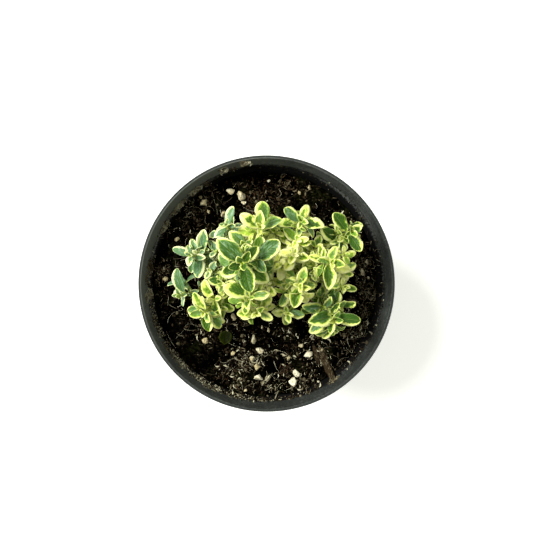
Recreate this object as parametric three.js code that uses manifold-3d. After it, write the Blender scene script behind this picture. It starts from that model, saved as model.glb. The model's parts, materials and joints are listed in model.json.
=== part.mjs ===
// Potted thyme: a bushy clump of variegated thyme in a round black nursery pot.
// The pot is a thin moulded shell with a wide collar, a foot ring and drain holes. It is filled
// with dark potting mix that holds white perlite and bark. Every spray is one leafy stem with
// its side shoots: its leaves sit in opposite pairs, each pair turned a quarter from the last.
// Units are millimetres, +Z is up, and the origin is the middle of the pot's foot, on the ground.

import * as THREE from "three";
import { mergeVertices } from "three/addons/utils/BufferGeometryUtils.js";
import Module from "manifold-3d";

const wasm = await Module();
wasm.setup();

// ---------------------------------------------------------------- driving dimensions

const POT_HEIGHT = 95;
const RIM_RADIUS = 55; // outside of the collar at the lip
const FOOT_RADIUS = 38.5; // outside of the foot ring
const WALL = 1.3;
const COLLAR_HEIGHT = 13;
const COLLAR_TAPER = 0.8; // how much narrower the collar is at its lower edge
const COLLAR_STEP = 1.8; // how far the body is set in below the collar
const FOOT_RING_WIDTH = 5;
const FOOT_LIFT = 2; // height of the base's middle over the ground
const FOOT_EDGE = 1.5; // how far the foot's outer edge is cut back
const POT_SIDES = 36;

const DRAIN_COUNT = 8;
const DRAIN_RADIUS = 3;
const DRAIN_CIRCLE = 27;
const DRAIN_SIDES = 8;
const NOTCH_WIDTH = 4; // of the gaps in the foot ring that let water out
const NOTCH_HEIGHT = 1.2;

const GAP = 0.3; // clearance between neighbouring pieces

const SOIL_DROP = 14.5; // mean depth of the soil below the lip
const SOIL_TILT = 2.6; // rise of the soil's surface from its middle to its high edge
const SOIL_LOW_SIDE = 42; // degrees: the side where the surface is lowest
const SOIL_RINGS = 5;

const STEM_DEPTH = 9; // how deep a stem stands in the soil
const STEM_RADIUS = 0.85; // at the soil
const SHOOT_RADIUS = 0.42; // at a growing tip
const STEM_SIDES = 4; // mint plants and their kin have square stems
const STEM_PIECES = 4; // straight pieces along a main stem
const SIDE_PIECES = 3; // and along a side shoot

const CROWN = [0.5, 6]; // middle of the clump at the soil
const ROOT_SHARE = 0.42; // a stem's distance from the crown, as a share of its tip's distance
const LEAN_AT_TIP = 0.35; // 0 sends a tip straight up, 1 keeps the stem straight
const FORK_HEIGHT = 0.42; // where a side shoot leaves its main stem, as a share of that stem

const LEAF_THICKNESS = 0.8; // from the edges to the keel
const LEAF_WIDTH = 0.53; // as a share of the leaf's length
const LEAF_STALK = 0.08; // the narrow share of a leaf, next to the stem
const LEAF_FOOT = 0.3; // within this share of their length, leaves of a spray may touch

// ---------------------------------------------------------------- leaf pairs, from the tip down

const PAIR_DROP = [0.5, 2.2, 4.6, 7.8, 11.8, 16.6, 22, 28, 34.4]; // below the tip
const PAIR_SHARE = [0.52, 0.8, 1.14, 1.1, 1.02, 0.96, 0.92, 0.88, 0.84]; // of the full leaf
const PAIR_LIFT = [62, 42, 24, 12, 4, 0, -4, -8, -10]; // degrees above the stem's square
const PAIR_TWIST = [0, 0, 0, 0, 36, 36, 66, 66, 100]; // degrees the ranks wind by
const BARE_FOOT = 6; // no leaves on the lowest stretch of a stem

// A leaf that would touch another spray is bent clear: the first of these that fits is used.
const TRY_SIZES = [1, 0.85, 0.7];
const TRY_LIFTS = [0, 16, -14, 30];
const TRY_TURNS = [0, 15, -15, 30, -30];

// ---------------------------------------------------------------- sprays
// The leaves of a shoot stand in four ranks. One row for each shoot gives its tip [x, y, z], its
// number of leaf pairs, and the heading in degrees and full leaf length of each rank. The first
// two ranks face each other and carry every second pair, and so do the last two. The first shoot
// of a spray stands in the soil, and the others fork from it.

const SPRAYS = {
  crown_tall: [
    [[-8.4, 8.4, 138], 9, [[130, 11.2], [290, 10.6], [208, 8.4], [54, 7.6]]],
    [[-3.9, 9.9, 130], 6, [[47, 10.4], [215, 6], [298, 9.2], [120, 6]]],
  ],
  crown_back: [[[-8.2, 15.2, 118], 7, [[131, 9], [311, 5], [40, 6], [205, 6]]]],
  back_middle: [
    [[-2.3, 21.9, 124], 8, [[140, 9], [22, 8.4], [82, 10.4], [258, 6]]],
    [[3.8, 21, 113], 4, [[60, 5.4], [240, 5], [150, 6], [335, 6]]],
  ],
  back_left: [
    [[-15.6, 23.5, 116], 7, [[73, 7.4], [228, 6], [180, 5], [350, 5]]],
    [[-18.4, 21, 108], 3, [[190, 5.6], [20, 4], [100, 4], [280, 5]]],
  ],
  left_upper: [
    [[-30.2, 11.8, 112], 7, [[157, 7.8], [345, 5], [257, 6.6], [114, 6.6]]],
    [[-27.6, 12.4, 108], 4, [[76, 10.4], [272, 9.6], [345, 6], [175, 5]]],
  ],
  left_lower: [[[-34.8, -4.5, 108], 6, [[262, 4.8], [97, 10.8], [186, 6.2], [10, 5]]]],
  front_left: [
    [[-24.4, -10.5, 118], 7, [[115, 8.6], [277, 8], [190, 8], [307, 8.6]]],
    [[-21.4, -6, 111], 4, [[118, 8.4], [292, 8], [200, 5], [20, 6]]],
  ],
  left_inner: [[[-17.7, 0.2, 113], 7, [[191, 5.8], [0, 5.4], [120, 5.4], [262, 5.4]]]],
  left_shaded: [
    [[-22.8, 5.7, 107], 6, [[150, 5.6], [305, 6.4], [60, 7], [240, 6.4]]],
    [[-20.4, 13.8, 109], 3, [[150, 5.4], [335, 5], [235, 5.6], [62, 4.6]]],
  ],
  front_middle: [[[-6.5, -4.7, 124], 8, [[158, 9.4], [8, 7.4], [106, 5.8], [249, 6.6]]]],
  front_edge: [[[-3.8, -10.9, 115], 7, [[184, 8.2], [336, 6.8], [229, 5], [48, 7]]]],
  back_right: [[[13.2, 24.8, 122], 8, [[142, 7.6], [334, 9.2], [72, 7.8], [255, 5]]]],
  middle_back: [[[12.2, 17.6, 117], 7, [[128, 7], [320, 6], [18, 6.2], [231, 5.8]]]],
  right_upper: [
    [[33.2, 21.2, 116], 7, [[137, 8.8], [302, 8.6], [30, 7.8], [225, 5]]],
    [[29, 17.5, 110], 4, [[143, 8], [320, 5], [195, 5.4], [60, 5]]],
  ],
  right_middle: [
    [[24.3, 8.8, 124], 8, [[72, 7], [259, 9.2], [158, 7.6], [350, 8.4]]],
    [[19.9, 15.4, 112], 4, [[75, 5], [255, 5], [140, 5], [15, 5]]],
    [[30.4, 4.8, 114], 4, [[18, 7], [195, 5], [338, 6.8], [140, 5]]],
  ],
  right_edge: [[[31, 12, 113], 7, [[15, 5.6], [200, 5], [100, 5.4], [290, 6]]]],
  right_lower: [
    [[31.2, -0.6, 112], 7, [[350, 5.8], [187, 4.6], [113, 6], [270, 4]]],
    [[30.6, -9.4, 106], 3, [[10, 6.4], [195, 4], [75, 4.6], [285, 4]]],
  ],
  middle: [
    [[10.8, 11.8, 121], 8, [[352, 5.6], [172, 5.4], [248, 6.6], [78, 5]]],
    [[5.8, 8.1, 114], 5, [[125, 7.4], [285, 6], [215, 5.6], [40, 5]]],
  ],
  middle_front: [
    [[12.9, -0.5, 122], 8, [[83, 7.4], [257, 8.2], [158, 5.6], [352, 6.6]]],
    [[9, -1.5, 112], 4, [[240, 7.4], [60, 5], [150, 7], [330, 5]]],
  ],
  front_low: [[[8.6, -11.8, 106], 5, [[177, 5.6], [343, 7.4], [274, 6.6], [94, 5]]]],
  right_front: [
    [[26.6, -13.3, 116], 7, [[190, 11], [356, 10], [252, 9.6], [62, 5.8]]],
    [[23.7, -9.1, 109], 4, [[180, 9], [0, 6], [64, 8], [245, 5]]],
    [[21.3, -5, 105], 3, [[160, 6], [345, 6], [70, 5], [250, 6]]],
  ],
  middle_shaded: [[[19, 4.5, 108], 6, [[15, 5.4], [194, 7.4], [102, 5.6], [280, 6]]]],
  crown_front: [[[-1.8, 0.1, 111], 6, [[125, 5.6], [318, 6.4], [30, 5.6], [215, 5.6]]]],
};

// Sprays whose leaves are grey green with cream edges, and those with broad yellow edges. The
// leaves of the others are a full green with narrow yellow edges.
const SILVER_SPRAYS = ["back_left", "left_upper", "left_lower", "left_shaded"];
const GOLD_SPRAYS = [
  "back_middle", "front_left", "front_middle", "front_edge", "right_middle", "right_edge",
  "middle", "middle_front", "crown_front",
];

// ---------------------------------------------------------------- what lies on the soil

// White perlite grains: x, y and radius.
const PERLITE = [
  [-16.2, 41.2, 1.8], [-11.2, 39.4, 2.2], [-28.5, 36.1, 1.8], [-19.4, 31.1, 1.7],
  [-45.5, 1.5, 1.4], [-14.8, -15.3, 1.5], [-27.4, -25.7, 1.5], [-5.7, -25.8, 1.7],
  [-2.9, -30.7, 1.7], [-6.6, -34.3, 1.5], [-4.3, -38, 1.6], [-3.9, -42.6, 1.9],
  [18.9, -32.7, 2], [13.4, -40.8, 1.7], [11.6, -44.6, 2.1], [43.8, 4.6, 1.4],
];
// Bark and wood strips: x, y, length, width and turn in degrees.
const BARK = [
  [26.3, -35.1, 12.5, 3, -67],
  [22.5, -32.6, 8, 1.8, -76],
  [-0.2, -43.9, 5.4, 1.8, 48],
];

// ---------------------------------------------------------------- materials

const paint = (color, roughness) =>
  new THREE.MeshStandardMaterial({ color, roughness, metalness: 0 });
const BLACK_PLASTIC = paint(0x222524, 0.5);
const POTTING_MIX = paint(0x1f1813, 1);
const SILVER_LEAF = paint(0x8ba283, 0.55);
const GOLD_LEAF = paint(0xb9c35a, 0.5);
const GREEN_LEAF = paint(0x6d9242, 0.48);

// ---------------------------------------------------------------- helpers

const radians = (degrees) => (degrees * Math.PI) / 180;
const mix = (a, b, share) => a + (b - a) * share;

// A repeatable stream of numbers from 0 to 1.
function drawsFrom(seed) {
  let state = seed;
  return () => (state = (state * 48271) % 2147483647) / 2147483647;
}

function solidOf(geometry) {
  const bare = geometry.clone();
  bare.deleteAttribute("normal");
  bare.deleteAttribute("uv");
  const merged = mergeVertices(bare, 1e-4);
  return new wasm.Manifold(
    new wasm.Mesh({
      numProp: 3,
      vertProperties: merged.attributes.position.array,
      triVerts: new Uint32Array(merged.index.array),
    }),
  );
}

function geometryOf(solid) {
  const mesh = solid.getMesh();
  const geometry = new THREE.BufferGeometry();
  geometry.setAttribute("position", new THREE.BufferAttribute(mesh.vertProperties, 3));
  geometry.setIndex(new THREE.BufferAttribute(mesh.triVerts, 1));
  geometry.computeVertexNormals();
  return geometry;
}

// Moves every vertex of a geometry to where place(vertex) puts it.
function reshape(geometry, place) {
  const position = geometry.attributes.position;
  const vertex = new THREE.Vector3();
  for (let i = 0; i < position.count; i++) {
    vertex.fromBufferAttribute(position, i);
    const moved = place(vertex);
    position.setXYZ(i, moved.x, moved.y, moved.z);
  }
  return geometry;
}

const upright = (geometry) => geometry.rotateX(Math.PI / 2); // from +Y up to +Z up

// ---------------------------------------------------------------- pot

const COLLAR_FOOT = POT_HEIGHT - COLLAR_HEIGHT;
const BODY_TOP_RADIUS = RIM_RADIUS - COLLAR_TAPER - COLLAR_STEP;
const FLOOR_TOP = FOOT_LIFT + WALL;

// Inner radius of the pot's body at height z.
const bodyInside = (z) => mix(FOOT_RADIUS, BODY_TOP_RADIUS, z / COLLAR_FOOT) - WALL;

function makePot() {
  const ringInside = FOOT_RADIUS - FOOT_RING_WIDTH;
  const profile = [
    [0, FOOT_LIFT],
    [ringInside - FOOT_LIFT, FOOT_LIFT],
    [ringInside, 0],
    [FOOT_RADIUS - FOOT_EDGE, 0],
    [FOOT_RADIUS, FOOT_EDGE],
    [BODY_TOP_RADIUS, COLLAR_FOOT - WALL],
    [RIM_RADIUS - COLLAR_TAPER, COLLAR_FOOT],
    [RIM_RADIUS, POT_HEIGHT],
    [RIM_RADIUS - WALL, POT_HEIGHT],
    [RIM_RADIUS - COLLAR_TAPER - WALL, COLLAR_FOOT + WALL],
    [bodyInside(COLLAR_FOOT), COLLAR_FOOT],
    [bodyInside(FLOOR_TOP), FLOOR_TOP],
    [0, FLOOR_TOP],
  ].map(([r, z]) => new THREE.Vector2(r, z));
  let pot = solidOf(upright(new THREE.LatheGeometry(profile, POT_SIDES)));
  const drill = upright(
    new THREE.CylinderGeometry(DRAIN_RADIUS, DRAIN_RADIUS, 2 * FLOOR_TOP, DRAIN_SIDES),
  ).translate(DRAIN_CIRCLE, 0, FLOOR_TOP);
  const slot = new THREE.BoxGeometry(3 * FOOT_RING_WIDTH, NOTCH_WIDTH, 2 * NOTCH_HEIGHT);
  slot.translate(FOOT_RADIUS, 0, 0);
  for (let i = 0; i < DRAIN_COUNT; i++) {
    const turn = (i / DRAIN_COUNT) * 2 * Math.PI;
    const hole = drill.clone().rotateZ(turn);
    const notch = slot.clone().rotateZ(turn);
    pot = pot.subtract(solidOf(hole)).subtract(solidOf(notch));
  }
  return pot;
}

// ---------------------------------------------------------------- soil

const SOIL_LEVEL = POT_HEIGHT - SOIL_DROP;

// Height of the soil's surface: a tilted bed with low mounds.
function soilTop(x, y) {
  const side = radians(SOIL_LOW_SIDE);
  const along = (x * Math.cos(side) + y * Math.sin(side)) / bodyInside(SOIL_LEVEL);
  const mounds =
    0.55 * Math.sin(0.23 * x + 0.6) * Math.cos(0.19 * y - 0.4) +
    0.4 * Math.sin(0.47 * x - 0.31 * y) +
    0.3 * Math.cos(0.39 * x + 0.52 * y + 1.1);
  return SOIL_LEVEL - SOIL_TILT * along + mounds;
}

function makeSoil(holes) {
  const bottom = FLOOR_TOP + GAP;
  const side = bodyInside(SOIL_LEVEL) - GAP;
  const profile = [
    new THREE.Vector2(0, bottom),
    new THREE.Vector2(bodyInside(bottom) - GAP, bottom),
  ];
  for (let ring = SOIL_RINGS; ring >= 0; ring--)
    profile.push(new THREE.Vector2((side * ring) / SOIL_RINGS, SOIL_LEVEL));
  const bed = reshape(upright(new THREE.LatheGeometry(profile, POT_SIDES)), (v) => {
    if (v.z < SOIL_LEVEL - 1) return v;
    const z = soilTop(v.x, v.y);
    const reach = Math.hypot(v.x, v.y);
    const wall = bodyInside(Math.min(z, COLLAR_FOOT)) - GAP;
    const pull = reach > side - 0.1 ? wall / reach : 1;
    return v.set(v.x * pull, v.y * pull, z);
  });
  let soil = solidOf(bed);
  for (const hole of holes) soil = soil.subtract(hole);
  const draw = drawsFrom(311);
  for (const [x, y, radius] of PERLITE) {
    const grain = new THREE.OctahedronGeometry(1.1 * radius, 0);
    grain.scale(1, mix(0.75, 1, draw()), 0.8).rotateZ(Math.PI * draw());
    grain.translate(x, y, soilTop(x, y) + 0.2 * radius);
    soil = soil.add(solidOf(grain));
  }
  for (const [x, y, length, width, turn] of BARK) {
    const strip = new THREE.CapsuleGeometry(width / 2, length - width, 1, 6);
    strip.scale(1, 1, 0.7).rotateZ(radians(turn) - Math.PI / 2);
    strip.translate(x, y, soilTop(x, y) + 0.15 * width);
    soil = soil.add(solidOf(strip));
  }
  return soil;
}

// ---------------------------------------------------------------- stems

// The line of a stem from start to tip: it leans out low down and turns up towards its tip.
class StemCurve extends THREE.Curve {
  constructor(start, tip) {
    super();
    this.start = start;
    this.tip = tip;
  }
  getPoint(t, target = new THREE.Vector3()) {
    const out = (1 - LEAN_AT_TIP) * (1 - (1 - t) ** 2) + LEAN_AT_TIP * t;
    return target.set(
      mix(this.start.x, this.tip.x, out),
      mix(this.start.y, this.tip.y, out),
      mix(this.start.z, this.tip.z, t),
    );
  }
  // Across, along and up the stem at t, with "across" as near to +X as the stem allows.
  frameAt(t) {
    const step = 0.01;
    const up = this.getPoint(t + step).sub(this.getPoint(t - step)).normalize();
    const across = new THREE.Vector3(1, 0, 0).addScaledVector(up, -up.x).normalize();
    return { across, along: up.clone().cross(across), up };
  }
}

// A tapering cylinder bent along the stem's line, with its foot lowered by extra.
function stemSolid(curve, footRadius, tipRadius, pieces, extra = 0) {
  const tube = new THREE.CylinderGeometry(tipRadius, footRadius, 1, STEM_SIDES, pieces);
  return solidOf(
    reshape(upright(tube), (v) => {
      const t = v.z + 0.5;
      const { across, along, up } = curve.frameAt(t);
      const middle = curve.getPoint(t).addScaledVector(up, t < 0.01 ? -extra : 0);
      return middle.addScaledVector(across, v.x).addScaledVector(along, v.y);
    }),
  );
}

// ---------------------------------------------------------------- leaves

// Half width of a leaf at share s of its length: a narrow stalk, a broad middle, a blunt tip.
function leafShape(s) {
  const blade = Math.max(0, (s - LEAF_STALK) / (1 - LEAF_STALK));
  return Math.max(0, Math.sin(Math.PI * blade ** 1.15)) ** 0.65;
}

// The point of a leaf at share s of its length, share u of its half width and height w over its
// face. A leaf arches along its length, and its sides rise from the midrib.
function leafPoint(leaf, s, u, w) {
  const half = 0.5 * leaf.width * leafShape(s) * u;
  const arch = leaf.arch * leaf.length * (1.6 * s * (1 - s) - 0.35 * s * s);
  return leaf.base
    .clone()
    .addScaledVector(leaf.out, leaf.length * s)
    .addScaledVector(leaf.side, half)
    .addScaledVector(leaf.face, arch + leaf.cup * Math.abs(half) + w);
}

const THIRD_TURN = (2 * Math.PI) / 3;

// Where a leaf's outline has its corners: the leaves at a shoot's tip and foot have fewer.
const LEAF_STATIONS = [0, 0.3, 0.64, 0.91, 1];
const SMALL_LEAF_STATIONS = [0, 0.34, 0.82, 1];

// A ball of three sides, whose poles become the leaf's base and tip and whose sides become its
// two edges and its keel.
function coarseLeaf(rings) {
  const ball = new THREE.SphereGeometry(1, 3, rings);
  ball.deleteAttribute("normal");
  ball.deleteAttribute("uv");
  return mergeVertices(ball, 1e-4);
}

// The leaf's blade from share "from" of its length on, grown on all sides by "spare".
function leafSolid(leaf, from = 0, spare = 0) {
  const rings = leaf.stations.length - 1;
  const ball = coarseLeaf(rings);
  const { position } = ball.attributes;
  const vertices = new Float32Array(position.count * 3);
  const grown = { ...leaf, width: leaf.width + 2.4 * spare };
  for (let i = 0; i < position.count; i++) {
    const ring = Math.round((Math.acos(position.getY(i)) / Math.PI) * rings);
    const isPole = ring === 0 || ring === rings;
    const s = mix(from, 1 + spare / leaf.length, leaf.stations[ring]);
    const turn = Math.atan2(position.getZ(i), -position.getX(i));
    const corner = isPole ? 0 : Math.round(turn / THIRD_TURN); // 0 keel, 1 and -1 edges
    const w = isPole ? 0 : corner === 0 ? -LEAF_THICKNESS - spare : spare;
    leafPoint(grown, s, corner, w).toArray(vertices, 3 * i);
  }
  const triVerts = new Uint32Array(ball.index.array);
  return new wasm.Manifold(new wasm.Mesh({ numProp: 3, vertProperties: vertices, triVerts }));
}

// The leaf that a shoot would carry in pair k on its first or second side, bent as one of the
// tries. Its seven wobbles from 0 to 1 make it unlike its neighbours.
function leafOn(shoot, k, hand, wobble, bend) {
  const { curve, ranks } = shoot;
  const [rankHeading, rankLength] = ranks[2 * (k % 2) + hand];
  const t = 1 - PAIR_DROP[k] / (curve.tip.z - curve.start.z);
  const { across, along, up } = curve.frameAt(t);
  const heading = radians(rankHeading + PAIR_TWIST[k] + 20 * (wobble[0] - 0.5) + bend.turn);
  const lift = radians(PAIR_LIFT[k] + 18 * (wobble[1] - 0.5) + bend.lift);
  const roll = radians(36 * (wobble[2] - 0.5));
  const flat = across.multiplyScalar(Math.cos(heading)).addScaledVector(along, Math.sin(heading));
  const out = flat.clone().multiplyScalar(Math.cos(lift)).addScaledVector(up, Math.sin(lift));
  const level = up.clone().multiplyScalar(Math.cos(lift)).addScaledVector(flat, -Math.sin(lift));
  const face = level.clone().applyAxisAngle(out, roll);
  const length = rankLength * PAIR_SHARE[k] * (0.93 + 0.14 * wobble[3]) * bend.size;
  return {
    base: curve.getPoint(t),
    out,
    face,
    side: out.clone().cross(face),
    length,
    width: length * LEAF_WIDTH * (0.88 + 0.24 * wobble[4]),
    arch: 0.05 + 0.25 * wobble[5],
    cup: 0.05 + 0.3 * wobble[6],
    stations: k === 0 || k > 3 ? SMALL_LEAF_STATIONS : LEAF_STATIONS,
  };
}

const TRIES = TRY_SIZES.flatMap((size) =>
  TRY_LIFTS.flatMap((lift) => TRY_TURNS.map((turn) => ({ size, lift, turn }))),
);

// ---------------------------------------------------------------- sprays

// The shoots of one spray, each with its stem's line.
function shootsOf(rows) {
  const shoots = [];
  for (const [place, pairs, ranks] of rows) {
    const tip = new THREE.Vector3(...place);
    const isMain = !shoots.length;
    const start = isMain
      ? new THREE.Vector3(mix(CROWN[0], tip.x, ROOT_SHARE), mix(CROWN[1], tip.y, ROOT_SHARE), 0)
      : shoots[0].curve.getPoint(FORK_HEIGHT);
    if (isMain) start.z = soilTop(start.x, start.y) - STEM_DEPTH;
    shoots.push({ curve: new StemCurve(start, tip), pairs, ranks, isMain });
  }
  return shoots;
}

function stemsOf(shoots) {
  const forkRadius = 0.85 * mix(STEM_RADIUS, SHOOT_RADIUS, FORK_HEIGHT);
  const stems = shoots.map(({ curve, isMain }) =>
    isMain
      ? stemSolid(curve, STEM_RADIUS, SHOOT_RADIUS, STEM_PIECES)
      : stemSolid(curve, forkRadius, SHOOT_RADIUS, SIDE_PIECES),
  );
  return wasm.Manifold.union(stems);
}

const isClear = (solid, others) => {
  const box = solid.boundingBox();
  const isNear = (other) =>
    [0, 1, 2].every((axis) => box.min[axis] < other.max[axis] && other.min[axis] < box.max[axis]);
  return others.every((other) => !isNear(other.boundingBox()) || solid.intersect(other).isEmpty());
};

// The first bend that clears the others and the spray's own leaves, or else just the others.
function placeLeaf(shoot, k, hand, wobble, others, ownLeaves) {
  let second = null;
  for (const bend of TRIES) {
    const leaf = leafOn(shoot, k, hand, wobble, bend);
    if (!isClear(leafSolid(leaf, 0, GAP), others)) continue;
    if (isClear(leafSolid(leaf, LEAF_FOOT), ownLeaves)) return leaf;
    second ??= leaf;
  }
  return second;
}

// Every spray as one solid, with each leaf bent clear of the pot, the soil and other sprays.
function growSprays(pot, soil) {
  const sprays = Object.entries(SPRAYS).map(([name, rows], i) => {
    const shoots = shootsOf(rows);
    return { name, shoots, solid: stemsOf(shoots), draw: drawsFrom(7001 + 97 * i) };
  });
  const tallestFirst = [...sprays].sort((a, b) => b.shoots[0].curve.tip.z - a.shoots[0].curve.tip.z);
  for (const spray of tallestFirst) {
    const others = sprays.filter((other) => other !== spray).map((other) => other.solid);
    const leaves = [];
    for (const shoot of spray.shoots)
      for (let k = shoot.isMain ? 0 : 1; k < shoot.pairs; k++)
        for (const hand of [0, 1]) {
          const wobble = Array.from({ length: 7 }, spray.draw);
          const { start, tip } = shoot.curve;
          const ground = start.z + BARE_FOOT + (shoot.isMain ? STEM_DEPTH : 0);
          if (tip.z - PAIR_DROP[k] < ground) continue;
          const leaf = placeLeaf(shoot, k, hand, wobble, [...others, pot, soil], leaves);
          if (leaf) leaves.push(leafSolid(leaf));
        }
    spray.solid = wasm.Manifold.union([spray.solid, ...leaves]);
  }
  return sprays;
}

// ---------------------------------------------------------------- assembly

const root = new THREE.Group();

function addPart(name, solid, material) {
  const mesh = new THREE.Mesh(geometryOf(solid), material);
  mesh.name = name;
  root.add(mesh);
}

const pot = makePot();
const holes = Object.values(SPRAYS).map((rows) => {
  const [{ curve }] = shootsOf(rows);
  const clear = GAP / Math.cos(Math.PI / STEM_SIDES);
  return stemSolid(curve, STEM_RADIUS + clear, SHOOT_RADIUS + clear, STEM_PIECES, GAP);
});
const soil = makeSoil(holes);

function leafMaterial(name) {
  if (SILVER_SPRAYS.includes(name)) return SILVER_LEAF;
  return GOLD_SPRAYS.includes(name) ? GOLD_LEAF : GREEN_LEAF;
}

addPart("pot", pot, BLACK_PLASTIC);
addPart("soil", soil, POTTING_MIX);
for (const { name, solid } of growSprays(pot, soil))
  addPart(`spray_${name}`, solid, leafMaterial(name));

export default root;
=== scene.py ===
import json
import math
import random

import bmesh
import bpy
from mathutils import Matrix, Vector, noise
from mathutils.kdtree import KDTree


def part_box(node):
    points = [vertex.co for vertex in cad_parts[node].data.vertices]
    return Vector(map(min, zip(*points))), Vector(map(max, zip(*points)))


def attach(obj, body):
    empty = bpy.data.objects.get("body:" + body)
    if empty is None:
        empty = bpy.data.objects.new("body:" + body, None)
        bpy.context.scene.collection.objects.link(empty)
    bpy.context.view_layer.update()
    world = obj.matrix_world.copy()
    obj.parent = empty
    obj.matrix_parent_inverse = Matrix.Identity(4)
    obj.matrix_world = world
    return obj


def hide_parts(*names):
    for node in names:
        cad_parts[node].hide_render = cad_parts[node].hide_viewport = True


# A bushy clump of variegated thyme in a round black nursery pot, seen from straight above.
# The file goes in the order in which the thing is put together: the view and its light, the pot,
# the potting mix, what lies on it, and then the sprays of thyme. Lengths are in millimetres until
# a mesh is finished, which turns them into metres.

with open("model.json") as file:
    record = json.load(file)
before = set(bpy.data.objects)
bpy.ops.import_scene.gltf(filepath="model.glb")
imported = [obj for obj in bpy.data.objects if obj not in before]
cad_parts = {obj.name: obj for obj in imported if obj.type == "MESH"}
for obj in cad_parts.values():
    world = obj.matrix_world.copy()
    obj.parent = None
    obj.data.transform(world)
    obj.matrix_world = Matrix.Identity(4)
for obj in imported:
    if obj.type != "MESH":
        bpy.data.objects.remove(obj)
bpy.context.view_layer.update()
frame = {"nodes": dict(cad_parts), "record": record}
MM = 0.001

# ---------------------------------------------------------------- view, table and light
# The camera hangs over the plant and looks straight down on it. A broad soft lamp shines from the
# upper left, under an even white sky. The table is a white light panel, which keeps shadows pale.

CAMERA_HEIGHT = 345
CAMERA_BEHIND = 7.3  # from the pot's middle towards +Y
SENSOR_WIDTH = 36
LENS = 39.42

scene = bpy.context.scene
scene.view_settings.view_transform = "Standard"

camera = bpy.data.objects.new("camera", bpy.data.cameras.new("camera"))
camera.data.sensor_width = SENSOR_WIDTH
camera.data.lens = LENS
camera.data.clip_start = 0.01
camera.location = (0, CAMERA_BEHIND * MM, CAMERA_HEIGHT * MM)
scene.collection.objects.link(camera)
scene.camera = camera

LAMP_PLACE = Vector((-685, 318, 1060))
LAMP_WIDTH = 580
LAMP_POWER = 29
SKY_COLOUR = (1.0, 1.0, 0.985, 1)
SKY_STRENGTH = 0.54

lamp = bpy.data.objects.new("lamp", bpy.data.lights.new("lamp", "AREA"))
lamp.data.energy = LAMP_POWER
lamp.data.shape = "DISK"
lamp.data.size = LAMP_WIDTH * MM
lamp.location = LAMP_PLACE * MM
lamp.rotation_euler = LAMP_PLACE.to_track_quat("Z", "Y").to_euler()
scene.collection.objects.link(lamp)

scene.world = bpy.data.worlds.new("sky")
scene.world.use_nodes = True
sky = scene.world.node_tree.nodes["Background"]
sky.inputs["Color"].default_value = SKY_COLOUR
sky.inputs["Strength"].default_value = SKY_STRENGTH


class Value:
    """A socket in a finish: arithmetic on it adds Math nodes."""

    def __init__(self, finish, socket):
        self.finish = finish
        self.socket = socket

    def output(self, name):
        return Value(self.finish, self.socket.node.outputs[name])

    def math(self, operation, *others):
        sockets = dict(enumerate((self, *others)))
        return self.finish.node("ShaderNodeMath", {"operation": operation}, sockets)

    def __add__(self, other):
        return self.math("ADD", other)

    __radd__ = __add__

    def __sub__(self, other):
        return self.math("SUBTRACT", other)

    def __rsub__(self, other):
        sockets = {0: other, 1: self}
        return self.finish.node("ShaderNodeMath", {"operation": "SUBTRACT"}, sockets)

    def __mul__(self, other):
        return self.math("MULTIPLY", other)

    __rmul__ = __mul__

    def __truediv__(self, other):
        return self.math("DIVIDE", other)

    def __abs__(self):
        return self.math("ABSOLUTE")

    def rise(self, low, high):
        """0 up to low, then a smooth climb that reaches 1 at high."""
        settings = {"interpolation_type": "SMOOTHSTEP"}
        sockets = {"Value": self, "From Min": low, "From Max": high}
        return self.finish.node("ShaderNodeMapRange", settings, sockets)


def opaque(colour):
    """A colour with its alpha. A value is left as it is."""
    return (*colour, 1) if isinstance(colour, tuple) else colour


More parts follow.
